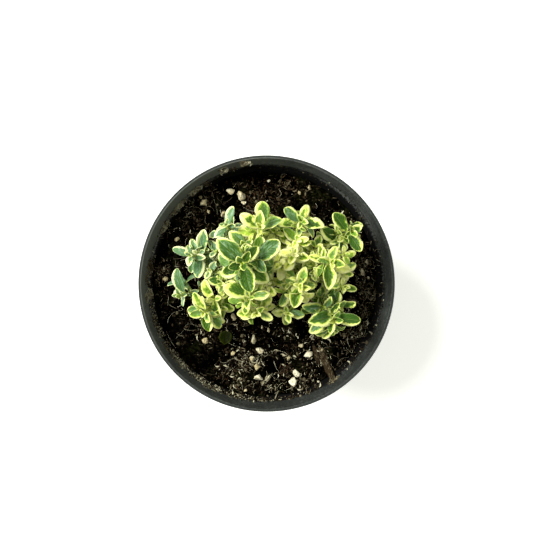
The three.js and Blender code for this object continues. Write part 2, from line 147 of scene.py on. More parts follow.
class Finish:
    """A material, made of a Principled shader and the nodes that feed it."""

    def __init__(self, name):
        self.material = bpy.data.materials.new(name)
        self.material.use_nodes = True
        self.tree = self.material.node_tree
        self.shader = self.tree.nodes["Principled BSDF"]

    def node(self, kind, settings=None, sockets=None, out=0):
        """Adds a node, with its settings first and then the values or links of its sockets."""
        made = self.tree.nodes.new(kind)
        for name, value in (settings or {}).items():
            if name == "stops":
                while len(made.color_ramp.elements) < len(value):
                    made.color_ramp.elements.new(1)
                for element, (place, colour) in zip(made.color_ramp.elements, value):
                    element.position = place
                    element.color = opaque(colour)
            else:
                setattr(made, name, value)
        self.feed(made, sockets or {})
        return Value(self, made.outputs[out])

    def feed(self, made, sockets):
        for name, value in sockets.items():
            if isinstance(value, Value):
                self.tree.links.new(value.socket, made.inputs[name])
            else:
                made.inputs[name].default_value = value

    def place(self):
        """Where a point lies on the object, in metres."""
        return self.node("ShaderNodeTexCoord", out="Object")

    def grain(self, size, detail=2.0, roughness=0.5, stretch=None, where=None):
        """Noise from 0 to 1 with features about this many millimetres across."""
        where = where or self.place()
        if stretch:
            where = self.node("ShaderNodeMapping", None, {"Vector": where, "Scale": stretch})
        sockets = {"Vector": where, "Scale": 1 / (size * MM)}
        sockets |= {"Detail": detail, "Roughness": roughness}
        return self.node("ShaderNodeTexNoise", None, sockets, "Fac")

    def attribute(self, name):
        """The three numbers of a mesh attribute."""
        vector = self.node("ShaderNodeAttribute", {"attribute_name": name}, None, "Vector")
        parts = self.node("ShaderNodeSeparateXYZ", None, {0: vector})
        return parts, parts.output("Y"), parts.output("Z")

    def blend(self, share, first, second):
        """The first colour where share is 0 and the second where it is 1."""
        sockets = {0: share, 6: opaque(first), 7: opaque(second)}
        return self.node("ShaderNodeMix", {"data_type": "RGBA"}, sockets, 2)

    def ramp(self, share, *stops):
        """The colour at a share of the way through the stops, each a place and a colour."""
        return self.node("ShaderNodeValToRGB", {"stops": stops}, {"Fac": share}, "Color")

    def bump(self, height, depth, strength=1.0):
        """A bump whose height of 1 stands this many millimetres proud."""
        sockets = {"Height": height, "Distance": depth * MM, "Strength": strength}
        return self.node("ShaderNodeBump", None, sockets)

    def surface(self, **sockets):
        """Feeds the shader: base_color feeds its Base Color, and so on."""
        for name, value in sockets.items():
            socket = name.replace("_", " ").title().replace("Ior", "IOR")
            self.feed(self.shader, {socket: opaque(value)})
        return self.material


def finish_piece(name, shape, *materials):
    """Turns a bmesh in millimetres into an object in metres and links it."""
    bmesh.ops.transform(shape, matrix=Matrix.Scale(MM, 4), verts=shape.verts)
    mesh = bpy.data.meshes.new(name)
    shape.to_mesh(mesh)
    shape.free()
    for material in materials:
        mesh.materials.append(material)
    piece = bpy.data.objects.new(name, mesh)
    scene.collection.objects.link(piece)
    return piece


TABLE_WIDTH = 3000
TABLE_WHITE = (0.93, 0.94, 0.88)
TABLE_OFF_WHITE = (0.905, 0.92, 0.855)
TABLE_GLOW = 0.49

table_finish = Finish("white_table")
table_colour = table_finish.blend(table_finish.grain(90), TABLE_WHITE, TABLE_OFF_WHITE)
table_roughness = 0.6 + table_finish.grain(4) * 0.1
table_shape = bmesh.new()
bmesh.ops.create_grid(table_shape, x_segments=1, y_segments=1, size=TABLE_WIDTH / 2)
table_look = table_finish.surface(
    base_color=table_colour,
    roughness=table_roughness,
    emission_color=TABLE_WHITE,
    emission_strength=TABLE_GLOW,
)
table = finish_piece("table", table_shape, table_look)

# ---------------------------------------------------------------- pot
# A thin injection-moulded nursery pot of black polypropylene. Its wide collar stands out from the
# tapered body, and its foot ring has notches that let the water from the drain holes run out.

_, pot_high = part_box("pot")
RIM_RADIUS = pot_high.x / MM
POT_HEIGHT = pot_high.z / MM
FOOT_RADIUS = 38.5
WALL = 1.3
COLLAR_HEIGHT = 13
COLLAR_TAPER = 0.8
COLLAR_STEP = 1.8
FOOT_RING_WIDTH = 5
FOOT_LIFT = 2
FOOT_EDGE = 1.5
BAND_DEPTH = 1.9  # the height of the straight band under the lip
BAND_STEP = 0.05  # how much narrower the collar is under the band,
BAND_STEP_DEPTH = 2.2  # and how far that is below the lip
POT_STEPS = 180
DRAIN_COUNT = 8
DRAIN_RADIUS = 3
DRAIN_CIRCLE = 27
DRAIN_SIDES = 32
NOTCH_WIDTH = 4
NOTCH_HEIGHT = 1.2

COLLAR_FOOT = POT_HEIGHT - COLLAR_HEIGHT
LEDGE_TOP = COLLAR_FOOT + WALL
BODY_TOP_RADIUS = RIM_RADIUS - COLLAR_TAPER - COLLAR_STEP
FLOOR_TOP = FOOT_LIFT + WALL


def mix(low, high, share):
    return low + (high - low) * share


def body_inside(z):
    """Inner radius of the pot's body at height z."""
    return mix(FOOT_RADIUS, BODY_TOP_RADIUS, z / COLLAR_FOOT) - WALL


def pot_section():
    """The half section of the pot: each corner's radius, height and rounding."""
    ring_inside = FOOT_RADIUS - FOOT_RING_WIDTH
    return [
        (0, FOOT_LIFT, 0),
        (ring_inside - FOOT_LIFT, FOOT_LIFT, 0.5),
        (ring_inside, 0, 0.5),
        (FOOT_RADIUS - FOOT_EDGE, 0, 0.4),
        (FOOT_RADIUS, FOOT_EDGE, 0.6),
        (BODY_TOP_RADIUS, COLLAR_FOOT - WALL, 0.5),
        (RIM_RADIUS - COLLAR_TAPER, COLLAR_FOOT, 0.3),
        (RIM_RADIUS - BAND_STEP, POT_HEIGHT - BAND_STEP_DEPTH, 0.3),
        (RIM_RADIUS, POT_HEIGHT - BAND_DEPTH, 0.3),
        (RIM_RADIUS, POT_HEIGHT, 0.12),
        (RIM_RADIUS - WALL, POT_HEIGHT, 0.4),
        (RIM_RADIUS - COLLAR_TAPER - WALL, LEDGE_TOP, 0.35),
        (body_inside(COLLAR_FOOT), COLLAR_FOOT, 0.4),
        (body_inside(FLOOR_TOP), FLOOR_TOP, 0.8),
        (0, FLOOR_TOP, 0),
    ]


def make_pot_shell():
    shape = bmesh.new()
    corners = pot_section()
    ring = [shape.verts.new((r, 0, z)) for r, z, _ in corners]
    shape.faces.new(ring)
    for rounding in sorted({r for _, _, r in corners if r}):
        sharp = [v for v, corner in zip(ring, corners) if corner[2] == rounding]
        bmesh.ops.bevel(
            shape,
            geom=sharp,
            offset=rounding,
            segments=4,
            profile=0.5,
            affect="VERTICES",
            material=-1,
        )
    axis_edges = [e for e in shape.edges if all(abs(v.co.x) < 1e-6 for v in e.verts)]
    bmesh.ops.delete(shape, geom=list(shape.faces), context="FACES_ONLY")
    bmesh.ops.delete(shape, geom=axis_edges, context="EDGES")
    bmesh.ops.spin(
        shape,
        geom=list(shape.verts) + list(shape.edges),
        axis=(0, 0, 1),
        cent=(0, 0, 0),
        angle=2 * math.pi,
        steps=POT_STEPS,
        use_merge=True,
    )
    bmesh.ops.remove_doubles(shape, verts=shape.verts, dist=1e-4)
    bmesh.ops.recalc_face_normals(shape, faces=shape.faces)
    return shape


def make_drain_cutters():
    """Plugs the shape of every drain hole and of every notch in the foot ring."""
    shape = bmesh.new()
    for i in range(DRAIN_COUNT):
        turn = Matrix.Rotation(i / DRAIN_COUNT * 2 * math.pi, 4, "Z")
        bmesh.ops.create_cone(
            shape,
            cap_ends=True,
            segments=DRAIN_SIDES,
            radius1=DRAIN_RADIUS,
            radius2=DRAIN_RADIUS,
            depth=2 * FLOOR_TOP,
            matrix=turn @ Matrix.Translation((DRAIN_CIRCLE, 0, FLOOR_TOP)),
        )
        size = Matrix.Diagonal((3 * FOOT_RING_WIDTH, NOTCH_WIDTH, 2 * NOTCH_HEIGHT, 1))
        bmesh.ops.create_cube(
            shape, size=1, matrix=turn @ Matrix.Translation((FOOT_RADIUS, 0, 0)) @ size
        )
    return shape


def apply_modifiers(piece):
    """Keeps the mesh that the piece's modifiers make of it."""
    bpy.context.view_layer.update()
    shown = piece.evaluated_get(bpy.context.evaluated_depsgraph_get())
    piece.data = bpy.data.meshes.new_from_object(shown)
    piece.modifiers.clear()


def cut_away(piece, cutter):
    cut = piece.modifiers.new("cut", "BOOLEAN")
    cut.operation = "DIFFERENCE"
    cut.solver = "EXACT"
    cut.object = cutter
    apply_modifiers(piece)
    bpy.data.objects.remove(cutter)


POT_BLACK = (0.019, 0.022, 0.019)
POT_STREAK = (0.028, 0.031, 0.027)
# dust on the inside, laid on lighter where the wall is in shade: painted fill light
POT_DUST_AND_PAINTED_FILL = (0.180, 0.193, 0.168)
POT_WEAR_AND_HIGHLIGHT = (0.075, 0.086, 0.082)
POT_FLECK = (0.150, 0.155, 0.135)
# nearly black: stain from the mix and painted shade at the ledge
POT_STAIN_AND_SHADE = (0.0005, 0.0005, 0.0003)
POT_DUST = (0.105, 0.092, 0.060)
LIP_WEAR_AND_HIGHLIGHT = 0.7  # how far below the lip its pale wear and painted highlight reach
STAIN_AND_SHADE_TOP = COLLAR_FOOT + 2.4
LEDGE_BLACK_REACH = 52.3  # within about this radius the ledge is as black as the mix


def make_pot_finish():
    """Black plastic: filmed with dust inside, with painted fill light on the inner wall away from
    the lamp;
    worn pale along the lip, partly a painted highlight; stained and in painted shade at the ledge.
    """
    look = Finish("black_plastic")
    where = look.node("ShaderNodeSeparateXYZ", None, {0: look.place()})
    height = where.output("Z") / MM
    x, y = where.output("X") / MM, where.output("Y") / MM
    reach = (x * x + y * y).math("SQRT")
    cloud = look.grain(16, 3)
    scuff = look.grain(1.1, 4, 0.7, (1, 1, 0.12))
    rings = look.grain(0.9, 3, 0.6, (0.08, 0.08, 1))
    speck = look.grain(0.75, 3, 0.7)
    fleck = look.grain(0.3, 1)
    colour = look.blend(scuff.rise(0.35, 0.75), POT_BLACK, POT_STREAK)
    foot = 1 - (height + cloud * 14).rise(6, 16)
    drips = look.grain(3.2, 3, 0.6, (1, 1, 0.05)).rise(0.60, 0.78) * cloud.rise(0.45, 0.65)
    colour = look.blend((foot * 0.35 + drips * 0.18) * speck.rise(0.35, 0.65), colour, POT_DUST)
    wall = RIM_RADIUS - WALL - (POT_HEIGHT - height) * COLLAR_TAPER / (COLLAR_HEIGHT - WALL)
    inside = 1 - (reach - wall).rise(0.05, 0.5)
    body = 1 - (reach - height * ((BODY_TOP_RADIUS - FOOT_RADIUS) / COLLAR_FOOT)).rise(
        FOOT_RADIUS - 0.6, FOOT_RADIUS - 0.4
    )
    inside = inside * (body + height.rise(COLLAR_FOOT - 0.2, COLLAR_FOOT - 0.1)).math("MINIMUM", 1)
    across, ahead = x / reach, y / reach
    # How far the inner wall faces the lamp. The dust is laid on thinner there and thicker on the
    # wall in shade, as painted fill light.
    side = across * 0.45 - ahead * 0.31 + across * ahead * 0.30
    side = side - (across * across - ahead * ahead) * 0.08
    dust_and_painted_fill = 0.43 - side + (cloud + rings - 1) * 0.65 + (speck - 0.5) * 1.5
    dust_and_painted_fill = inside * dust_and_painted_fill.math("MAXIMUM", 0)
    colour = look.blend(dust_and_painted_fill, colour, POT_DUST_AND_PAINTED_FILL)
    # A pale band round the lip's outer edge: partly wear, partly a painted highlight.
    worn = (reach + scuff * 0.3).rise(RIM_RADIUS - 0.30, RIM_RADIUS + 0.1)
    worn = worn * height.rise(POT_HEIGHT - LIP_WEAR_AND_HIGHLIGHT, POT_HEIGHT - 0.2)
    colour = look.blend(worn * 0.5, colour, POT_WEAR_AND_HIGHLIGHT)
    low = 1 - (height + (cloud - 0.5) * 3 + (speck - 0.5) * 2).rise(STAIN_AND_SHADE_TOP - 1.5, STAIN_AND_SHADE_TOP + 1)
    dust = inside * (1 - low) * (1 - (height + cloud * 6).rise(STAIN_AND_SHADE_TOP, STAIN_AND_SHADE_TOP + 6))
    colour = look.blend(dust * speck.rise(0.55, 0.66) * 0.4, colour, POT_DUST)
    colour = look.blend(fleck.rise(0.62, 0.74) * (0.1 + dust_and_painted_fill * 0.5), colour, POT_FLECK)
    # The ledge and the wall just over it go nearly black, darkest at the back and the front:
    # partly stain from the mix, partly painted shade under the collar.
    black_reach = LEDGE_BLACK_REACH - ahead * 0.5 + (0.5 - speck) * 2
    ledge_foot = 1 - (reach - black_reach).rise(-0.6, 0.4)
    stained = 0.3 + ((abs(y) - abs(x) * 0.9) / reach).rise(0.1, 0.7) * 0.7 + ledge_foot
    colour = look.blend(inside * low * stained, colour, POT_STAIN_AND_SHADE)
    return look.surface(
        base_color=colour,
        roughness=0.46 + scuff * 0.16 + inside * low * 0.35,
        normal=look.bump(scuff * 0.3 + rings * 0.5, 0.05, 0.5),
        specular_ior_level=0.12,
    )


pot = finish_piece("nursery_pot", make_pot_shell(), make_pot_finish())
cut_away(pot, finish_piece("drain_cutters", make_drain_cutters()))
for face in pot.data.polygons:
    face.use_smooth = True
pot.data.set_sharp_from_angle(angle=math.radians(50))
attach(pot, "root")
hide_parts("pot")

# ---------------------------------------------------------------- potting mix
# Dark peat-based mix that fills the pot to a thumb's width below the lip. Its surface is tilted
# and uneven, with clods, and it keeps a hair's breadth from the pot's wall.

SOIL_DROP = 14.5
SOIL_TILT = 2.6
SOIL_LOW_SIDE = math.radians(42)
SOIL_LEVEL = POT_HEIGHT - SOIL_DROP
BED_REACH = body_inside(SOIL_LEVEL)
SOIL_BOTTOM = FLOOR_TOP + 0.3
BED_GAP = 0.12
BED_CELLS = 216

PEAT_BLACK = (0.0003, 0.00025, 0.0002)
PEAT_BROWN = (0.0135, 0.0105, 0.0055)
PEAT_FIBRE = (0.075, 0.062, 0.034)
PEAT_MOSS = (0.0065, 0.0075, 0.0018)


def soil_top(x, y):
    """Height of the bed: tilted, with low mounds."""
    along = (x * math.cos(SOIL_LOW_SIDE) + y * math.sin(SOIL_LOW_SIDE)) / BED_REACH
    mounds = (
        0.55 * math.sin(0.23 * x + 0.6) * math.cos(0.19 * y - 0.4)
        + 0.4 * math.sin(0.47 * x - 0.31 * y)
        + 0.3 * math.cos(0.39 * x + 0.52 * y + 1.1)
    )
    return SOIL_LEVEL - SOIL_TILT * along + mounds


def clods(x, y):
    """How far the mix's clods and crumbs stand over the bed at a place."""
    spot = Vector((x, y, 0))
    lumps = noise.noise(spot / 5.2 + Vector((3, 1, 7)))
    clumps = noise.noise(spot / 2.1 + Vector((9, 4, 2)))
    crumbs = noise.noise(spot / 0.85 + Vector((5, 8, 1)))
    return 0.9 * lumps + 0.75 * clumps + 0.45 * crumbs - 0.25


def bed_top(x, y):
    return soil_top(x, y) + clods(x, y)


def smoothed(shape):
    """The shape, shaded smooth."""
    for face in shape.faces:
        face.smooth = True
    return shape


def make_bed():
    shape = bmesh.new()
    bmesh.ops.create_grid(shape, x_segments=BED_CELLS, y_segments=BED_CELLS, size=1)
    for vertex in shape.verts:
        a, b, _ = vertex.co
        disc = Vector((a * math.sqrt(1 - b * b / 2), b * math.sqrt(1 - a * a / 2), 0))
        edge = disc.normalized() * BED_REACH
        wall = body_inside(min(soil_top(edge.x, edge.y), COLLAR_FOOT)) - BED_GAP
        x, y = disc.x * wall, disc.y * wall
        vertex.co = (x, y, bed_top(x, y))
    rim = [e for e in shape.edges if e.is_boundary]
    skirt = bmesh.ops.extrude_edge_only(shape, edges=rim)["geom"]
    for vertex in (v for v in skirt if isinstance(v, bmesh.types.BMVert)):
        narrow = (body_inside(SOIL_BOTTOM) - BED_GAP) / vertex.co.xy.length
        vertex.co = (vertex.co.x * narrow, vertex.co.y * narrow, SOIL_BOTTOM)
    foot = [e for e in skirt if isinstance(e, bmesh.types.BMEdge)]
    bmesh.ops.contextual_create(shape, geom=foot)
    bmesh.ops.recalc_face_normals(shape, faces=shape.faces)
    return smoothed(shape)


def make_peat_finish():
    look = Finish("peat")
    patches = look.grain(7, 3)
    crumbs = look.grain(1.1, 4, 0.65)
    threads = look.grain(0.8, 2, 0.5, (0.22, 1, 1))
    colour = look.blend(patches.rise(0.42, 0.72) * crumbs.rise(0.45, 0.7), PEAT_BLACK, PEAT_BROWN)
    moss = look.grain(9, 3).rise(0.54, 0.66) * crumbs.rise(0.4, 0.6)
    colour = look.blend(moss * 0.8, colour, PEAT_MOSS)
    colour = look.blend(threads.rise(0.64, 0.74) * patches.rise(0.4, 0.6), colour, PEAT_FIBRE)
    return look.surface(
        base_color=colour,
        roughness=0.85 + crumbs * 0.15,
        normal=look.bump(crumbs, 0.5, 0.9),
        specular_ior_level=0.0,
    )


bed = finish_piece("potting_mix", make_bed(), make_peat_finish())
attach(bed, "root")
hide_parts("soil")

# ---------------------------------------------------------------- crumbs, chips and fibres
# What makes the mix's surface rough: dark crumbs of peat, slivers of composted bark and wood, and
# pale root and moss fibres. All lie loose on the bed, and some stick to the pot's inside.

CRUMB_COUNT = 2600
CHIP_COUNT = 2400
FIBRE_COUNT = 330
GRIT_COUNT = 3000
BITS_SEED = 20
LEDGE_COVER = 0.45  # how thickly the front of the ledge is strewn, as a share of the bed
GRIT_MIDDLE = 222  # degrees round from +X
GRIT_CLIMB = 4.5
GRIT_ON_LEDGE = 0.55  # the share that lies on the ledge, where the rest is on the wall
LEDGE_INSIDE = 51
LEDGE_WIDTH = 2
UP = Vector((0, 0, 1))
SHADED_HOLLOWS = [(-30.2, -33, 10), (-48, -19, 7), (0, 51, 10), (28, 38, 10)]  # x, y and radius of dark bare patches near the wall, partly painted shade
WALL_CLUMPS = [  # angle in degrees, height over the ledge, spread, count, redness and size
    (111, 6.6, 0.9, 14, 0.9, 1.4), (99.5, 8.6, 0.7, 12, 0.9, 1.4),
    (106, 2.5, 1.3, 34, 0.5, 1.2), (171, 0.8, 1.5, 60, 0.6, 1.4), (178, 3.6, 1.4, 60, 0.3, 1.3),
    (187, 5.5, 0.9, 30, 0.3, 1.3), (199, 2.0, 1.6, 60, 0.3, 1.0), (213, 2.2, 1.4, 50, 0.1, 1.0),
    (305, 1.4, 1.3, 70, 0.1, 1.5), (150, 1.0, 1.4, 28, 0.5, 1.2), (128, 1.0, 1.2, 22, 0.4, 1.2),
    (240, 2.4, 1.4, 46, 0.1, 1.0),
]
WALL_ROOTS = [  # angle, lowest and highest over the ledge, spread, count, tone and redness
    (110.5, 5, 12, 0.3, 3, 1.0, 0.5), (98, 8, 11, 0.5, 2, 0.95, 0.7),
    (101, 8, 11, 0.5, 3, 0.9, 0.7), (172, 0.5, 5, 1.4, 10, 0.66, 0.5),
    (186, 2, 7, 1.2, 8, 0.8, 0.2), (128, 0, 2, 2, 12, 0.85, 0.2), (140, 0, 2, 3, 14, 0.85, 0.2),
    (152, 0, 1.5, 2, 8, 0.8, 0.2),
]
TANGLES = [  # x, y, spread, count, tone and redness of each heap of fibrous bark
    (-1.9, 40.2, 3.8, 150, 0.36, 0.7), (-7.4, 34.9, 2.4, 80, 0.34, 0.8),
    (7.6, 44.2, 1.9, 44, 0.5, 0.5), (-28, 39.6, 3.6, 60, 0.5, 0.3),
    (-47.6, 4.6, 2.2, 110, 0.52, 0.6), (-46, -3, 2.6, 50, 0.42, 0.3),
    (-9.7, -36, 2.6, 80, 0.62, 0.1), (-12, -45, 4.4, 110, 0.52, 0.2),
    (16.5, -45.4, 3.8, 90, 0.52, 0.2), (8.3, -39.4, 1.2, 50, 0.4, 0.9),
    (36, -27, 4.5, 80, 0.45, 0.2), (-25, -20.5, 2.6, 50, 0.42, 0.3),
    (26, 32, 4.5, 34, 0.5, 0.2), (44, 14, 3.2, 90, 0.5, 0.2), (-33, 26, 4, 80, 0.45, 0.4),
    (-37.5, 35, 2.6, 70, 0.78, 0.1), (-45, 24, 2.2, 50, 0.76, 0.1),
    (-28, 43, 2.2, 40, 0.7, 0.3), (45, -3, 3.4, 100, 0.6, 0.1), (41, -19, 3.4, 110, 0.58, 0.1),
    (39, 25, 3.4, 50, 0.56, 0.2), (46.5, 8, 2.0, 80, 0.66, 0.1), (47, -6, 2.0, 80, 0.66, 0.1),
    (44.5, -13, 2.0, 60, 0.62, 0.1),
]


def template(shape):
    """A shape that is copied many times, kept as a mesh."""
    mesh = bpy.data.meshes.new("template")
    shape.to_mesh(mesh)
    shape.free()
    return mesh


class Pile:
    """Gathers many copies of templates. It works in batches, because small shapes are quick."""

    BATCH = 1500  # vertices

    def __init__(self, *layers):
        self.layers = layers
        self.done = []
        self.shape = self.fresh()

    def fresh(self):
        shape = bmesh.new()
        for layer in self.layers:
            shape.verts.layers.float_vector.new(layer)
        return shape

    def layer(self, name):
        return self.shape.verts.layers.float_vector[name]

    def add(self, copied, matrix=None, **values):
        """Adds a copy of a template, with its three numbers for each attribute named."""
        if len(self.shape.verts) > self.BATCH:
            self.done.append(template(self.shape))
            self.shape = self.fresh()
        before = len(self.shape.verts)
        self.shape.from_mesh(copied)
        self.shape.verts.ensure_lookup_table()
        added = self.shape.verts[before:]
        for name, value in values.items():
            layer = self.layer(name)
            for vertex in added:
                vertex[layer] = value
        if matrix:
            for vertex in added:
                vertex.co = matrix @ vertex.co
        return added

    def put(self, spot, size, turn, lump, look):
        """Adds a bit of mix, whose look is three numbers: its tone, its seed and its redness."""
        matrix = Matrix.Translation(spot) @ turn @ Matrix.Diagonal((*size, 1))
        self.add(lump, matrix, bit=look)

    def whole(self):
        """The shape of all the copies."""
        self.done.append(template(self.shape))
        shape = self.fresh()
        for mesh in self.done:
            shape.from_mesh(mesh)
        return shape


def rock_template(seed):
    """A small lump with dents."""
    shape = bmesh.new()
    bmesh.ops.create_icosphere(shape, subdivisions=1, radius=1)
    for vertex in shape.verts:
        swell = noise.noise(vertex.co * 1.3 + Vector((seed, 0, 0)))
        pits = noise.noise(vertex.co * 4.5 + Vector((0, seed, 0)))
        vertex.co *= 1 + 0.5 * (swell + 0.35 * pits)
    return template(shape)


SLIVER_BENDS = [(0, 0), (3, 0), (-5, 6), (7, -9), (2, 12)]  # how far each bows and snakes


def sliver_template(bow=0, snake=0):
    """A splinter: a long thin block, split in pieces, ragged, and pointed at both ends."""
    shape = bmesh.new()
    bmesh.ops.create_cube(shape, size=1)
    long_edges = [e for e in shape.edges if abs(e.verts[0].co.x - e.verts[1].co.x) > 0.5]
    bmesh.ops.subdivide_edges(shape, edges=long_edges, cuts=4, use_grid_fill=False)
    for vertex in shape.verts:
        x, y, z = vertex.co
        ragged = 1 + 0.9 * noise.noise(Vector((x * 4, bow, y)))
        taper = (1 - 0.75 * abs(2 * x) ** 1.5) * ragged
        vertex.co = (x, y * taper + bow * (x * x - 0.1) + snake * x**3, z * taper)
    return template(shape)


def rod_template(sides, pieces):
    """A rod from z = 0 to 1 of radius 1, in straight pieces that a curve can bend."""
    shape = bmesh.new()
    bmesh.ops.create_cone(shape, cap_ends=True, segments=sides, radius1=1, radius2=1, depth=1)
    bmesh.ops.translate(shape, vec=(0, 0, 0.5), verts=shape.verts)
    for i in range(1, pieces):
        everything = list(shape.verts) + list(shape.edges) + list(shape.faces)
        bmesh.ops.bisect_plane(shape, geom=everything, plane_co=(0, 0, i / pieces), plane_no=UP)
    return template(shape)


def wall_inside(z):
    """Inner radius of the pot over its ledge at height z."""
    return RIM_RADIUS - WALL - COLLAR_TAPER * (POT_HEIGHT - z) / (POT_HEIGHT - LEDGE_TOP)


def around(reach, turn, height):
    """The point at this distance from the pot's axis, this angle round it and this height."""
    return Vector((reach * math.cos(turn), reach * math.sin(turn), height))


def drawn_in(spot, room):
    """A spot, moved towards the pot's axis if it lies further than "room" from it."""
    reach = spot.xy.length
    return spot * (room / reach) if reach > room else spot


def place_on_bed(draw):
    """A place somewhere on the bed or on the ledge round it, which is well covered in front."""
    while True:
        reach = (wall_inside(LEDGE_TOP) - 0.5) * math.sqrt(draw.random())
        turn = draw.uniform(0, 2 * math.pi)
        x, y = reach * math.cos(turn), reach * math.sin(turn)
        cover = LEDGE_COVER if y < -0.4 * abs(x) else 0
        if reach < BED_REACH - 1.2 or draw.random() < cover:
            return x, y


def ground(x, y):
    """Height of the bed, or of the pot's ledge beyond it."""
    beyond = math.hypot(x, y) - (BED_REACH - 0.6)
    if beyond > 0:
        return COLLAR_FOOT + 0.1 + beyond * 0.6
    return bed_top(x, y)


def hollow(x, y):
    """1 in the middle of a dark hollow, falling to 0 at its edge. There the mix is bare and dark,
    partly as painted shade.
    """
    return max(0, 1 - min(math.hypot(x - a, y - b) / r for a, b, r in SHADED_HOLLOWS) ** 3)


def tumbled(draw, flatness=1.0):
    """A random turn, which lies the flatter the smaller flatness is."""
    tilt = Matrix.Rotation(draw.uniform(-1, 1) * flatness, 4, "X")
    roll = Matrix.Rotation(draw.uniform(-1, 1) * flatness, 4, "Y")
    return Matrix.Rotation(draw.uniform(0, 2 * math.pi), 4, "Z") @ tilt @ roll


def add_crumbs(pile, draw):
    rocks = [rock_template(seed) for seed in range(5)]
    for _ in range(CRUMB_COUNT):
        x, y = place_on_bed(draw)
        radius = 0.28 + 0.85 * draw.random() ** 3
        spot = (x, y, ground(x, y) + 0.2 * radius)
        size = (radius, radius * draw.uniform(0.6, 1), radius * draw.uniform(0.45, 0.8))
        turn = tumbled(draw)
        # crumbs are darker in the dark hollows, partly painted shade
        tone = draw.random() ** 3.5 * 0.62 * (1 - 0.8 * hollow(x, y))
        pile.put(spot, size, turn, draw.choice(rocks), (tone, draw.random(), 0))


def chip_density(x, y):
    """Where slivers lie thickest: in patches, and along the front of the pot. They are fewest in
    the dark hollows, partly painted shade.
    """
    patch = noise.noise(Vector((x, y, 0)) / 9 + Vector((2, 6, 0)))
    front = max(0, -y / 50)
    return 0.26 + 1.7 * patch + 0.006 * x + 0.30 * front**2 - 0.9 * hollow(x, y)


def add_chips(pile, draw):
    slivers = [sliver_template(*bend) for bend in SLIVER_BENDS]
    made = 0
    while made < CHIP_COUNT:
        x, y = place_on_bed(draw)
        if draw.random() > chip_density(x, y):
            continue
        made += 1
        length = 0.35 + 2.6 * draw.random() ** 3
        width = 0.08 + length * draw.uniform(0.06, 0.24)
        size = (length, width, width * draw.uniform(0.3, 0.6))
        turn = tumbled(draw, 0.5)
        pale = draw.random() < 0.25 - 0.005 * y
        tone = draw.uniform(0.66, 1.2) if pale else 0.66 * draw.random() ** 1.7
        chip = draw.choice(slivers)
        look = (tone, draw.random(), 0.5 * draw.random() ** 3)
        pile.put((x, y, ground(x, y) + 0.22), size, turn, chip, look)


def bend_rod(rod, curve, radius, thinning):
    """Bends a rod's vertices along a curve. It gets thinner by the share "thinning" to its end."""
    step = 0.01
    for vertex in rod:
        x, y, t = vertex.co
        up = (curve(t + step) - curve(t - step)).normalized()
        across = (UP - up * up.dot(UP)).normalized()
        along = up.cross(across)
        vertex.co = curve(t) + (across * x + along * y) * (radius * (1 - thinning * t))


def add_fibres(pile, draw):
    rod = rod_template(3, 7)
    for _ in range(FIBRE_COUNT):
        x, y = place_on_bed(draw)
        # no fibres in the dark hollows, partly painted shade
        if draw.random() < hollow(x, y):
            continue
        length = draw.uniform(1.5, 4) + 8 * draw.random() ** 5
        middle = Vector((x, y, 0))
        ahead = around(1, draw.uniform(0, 2 * math.pi), 0)
        aside = ahead.cross(UP)
        sway = draw.uniform(-0.9, 0.9) * length * draw.random()
        hook = draw.uniform(-0.6, 0.6) * length * draw.random()
        lift = draw.uniform(0.1, 0.9)
        width = draw.uniform(0.03, 0.075)

        def curve(t):
            swing = sway * t * (1 - t) * 2 + hook * t**3
            spot = drawn_in(middle + ahead * length * (t - 0.5) + aside * swing, BED_REACH - 0.8)
            spot.z = soil_top(spot.x, spot.y) + 0.35 + lift * math.sin(math.pi * t)
            return spot

        fibre = pile.add(rod, bit=(0.4 + 0.6 * draw.random(), draw.random(), 0))
        bend_rod(fibre, curve, width, 0.6)


def add_tangles(pile, draw):
    """Heaps of torn, fibrous bark on the bed."""
    sliver = sliver_template()
    for x, y, spread, count, tone, red in TANGLES:
        for _ in range(count):
            spot = Vector((x + draw.gauss(0, spread), y + draw.gauss(0, spread), 0))
            spot = drawn_in(spot, wall_inside(LEDGE_TOP) - 0.6)
            spot.z = ground(spot.x, spot.y) + draw.uniform(0.1, 0.7)
            length = 0.5 + 2.2 * draw.random() ** 2
            width = draw.uniform(0.09, 0.3)
            shade = tone + draw.uniform(-0.3, 0.25)
            turn = tumbled(draw, 0.6)
            look = (shade, draw.random(), red * draw.random())
            pile.put(spot, (length, width, width * 0.7), turn, sliver, look)


def add_ledge_grit(pile, draw):
    """Grit dried onto the ledge and the wall over it, thickest at the left front."""
    rock, sliver = rock_template(4), sliver_template()
    made = 0
    while made < GRIT_COUNT:
        angle = draw.uniform(0, 360)
        thickest = max(0, math.cos(math.radians(angle - GRIT_MIDDLE))) ** 2.5
        clumped = noise.noise((angle / 9, 0, 0)) + 0.8 * noise.noise((angle / 2.5, 5, 0))
        if draw.random() > 0.08 + thickest * (0.6 + 0.9 * clumped):
            continue
        made += 1
        pale = draw.random() < 0.05 + 0.6 * thickest
        climb = draw.random() ** 2.5 * mix(1.5, GRIT_CLIMB, thickest)
        if draw.random() < GRIT_ON_LEDGE:
            reach = wall_inside(LEDGE_TOP) - 1.5 * draw.random() ** 1.5
            height = COLLAR_FOOT + WALL * (reach - LEDGE_INSIDE) / LEDGE_WIDTH
        else:
            height = LEDGE_TOP + climb
            reach = wall_inside(height) - 0.05
        spot = around(reach, math.radians(angle), height)
        radius = draw.uniform(0.12, 0.26) + 0.35 * draw.random() ** 4
        size = (radius * draw.uniform(0.8, 1.8), radius * 0.7, radius * 0.6)
        tone = draw.uniform(0.6, 1.1) if pale else draw.uniform(0, 0.45)
        grit = draw.choice((rock, rock, sliver))
        pile.put(spot, size, tumbled(draw), grit, (tone, draw.random(), 0))


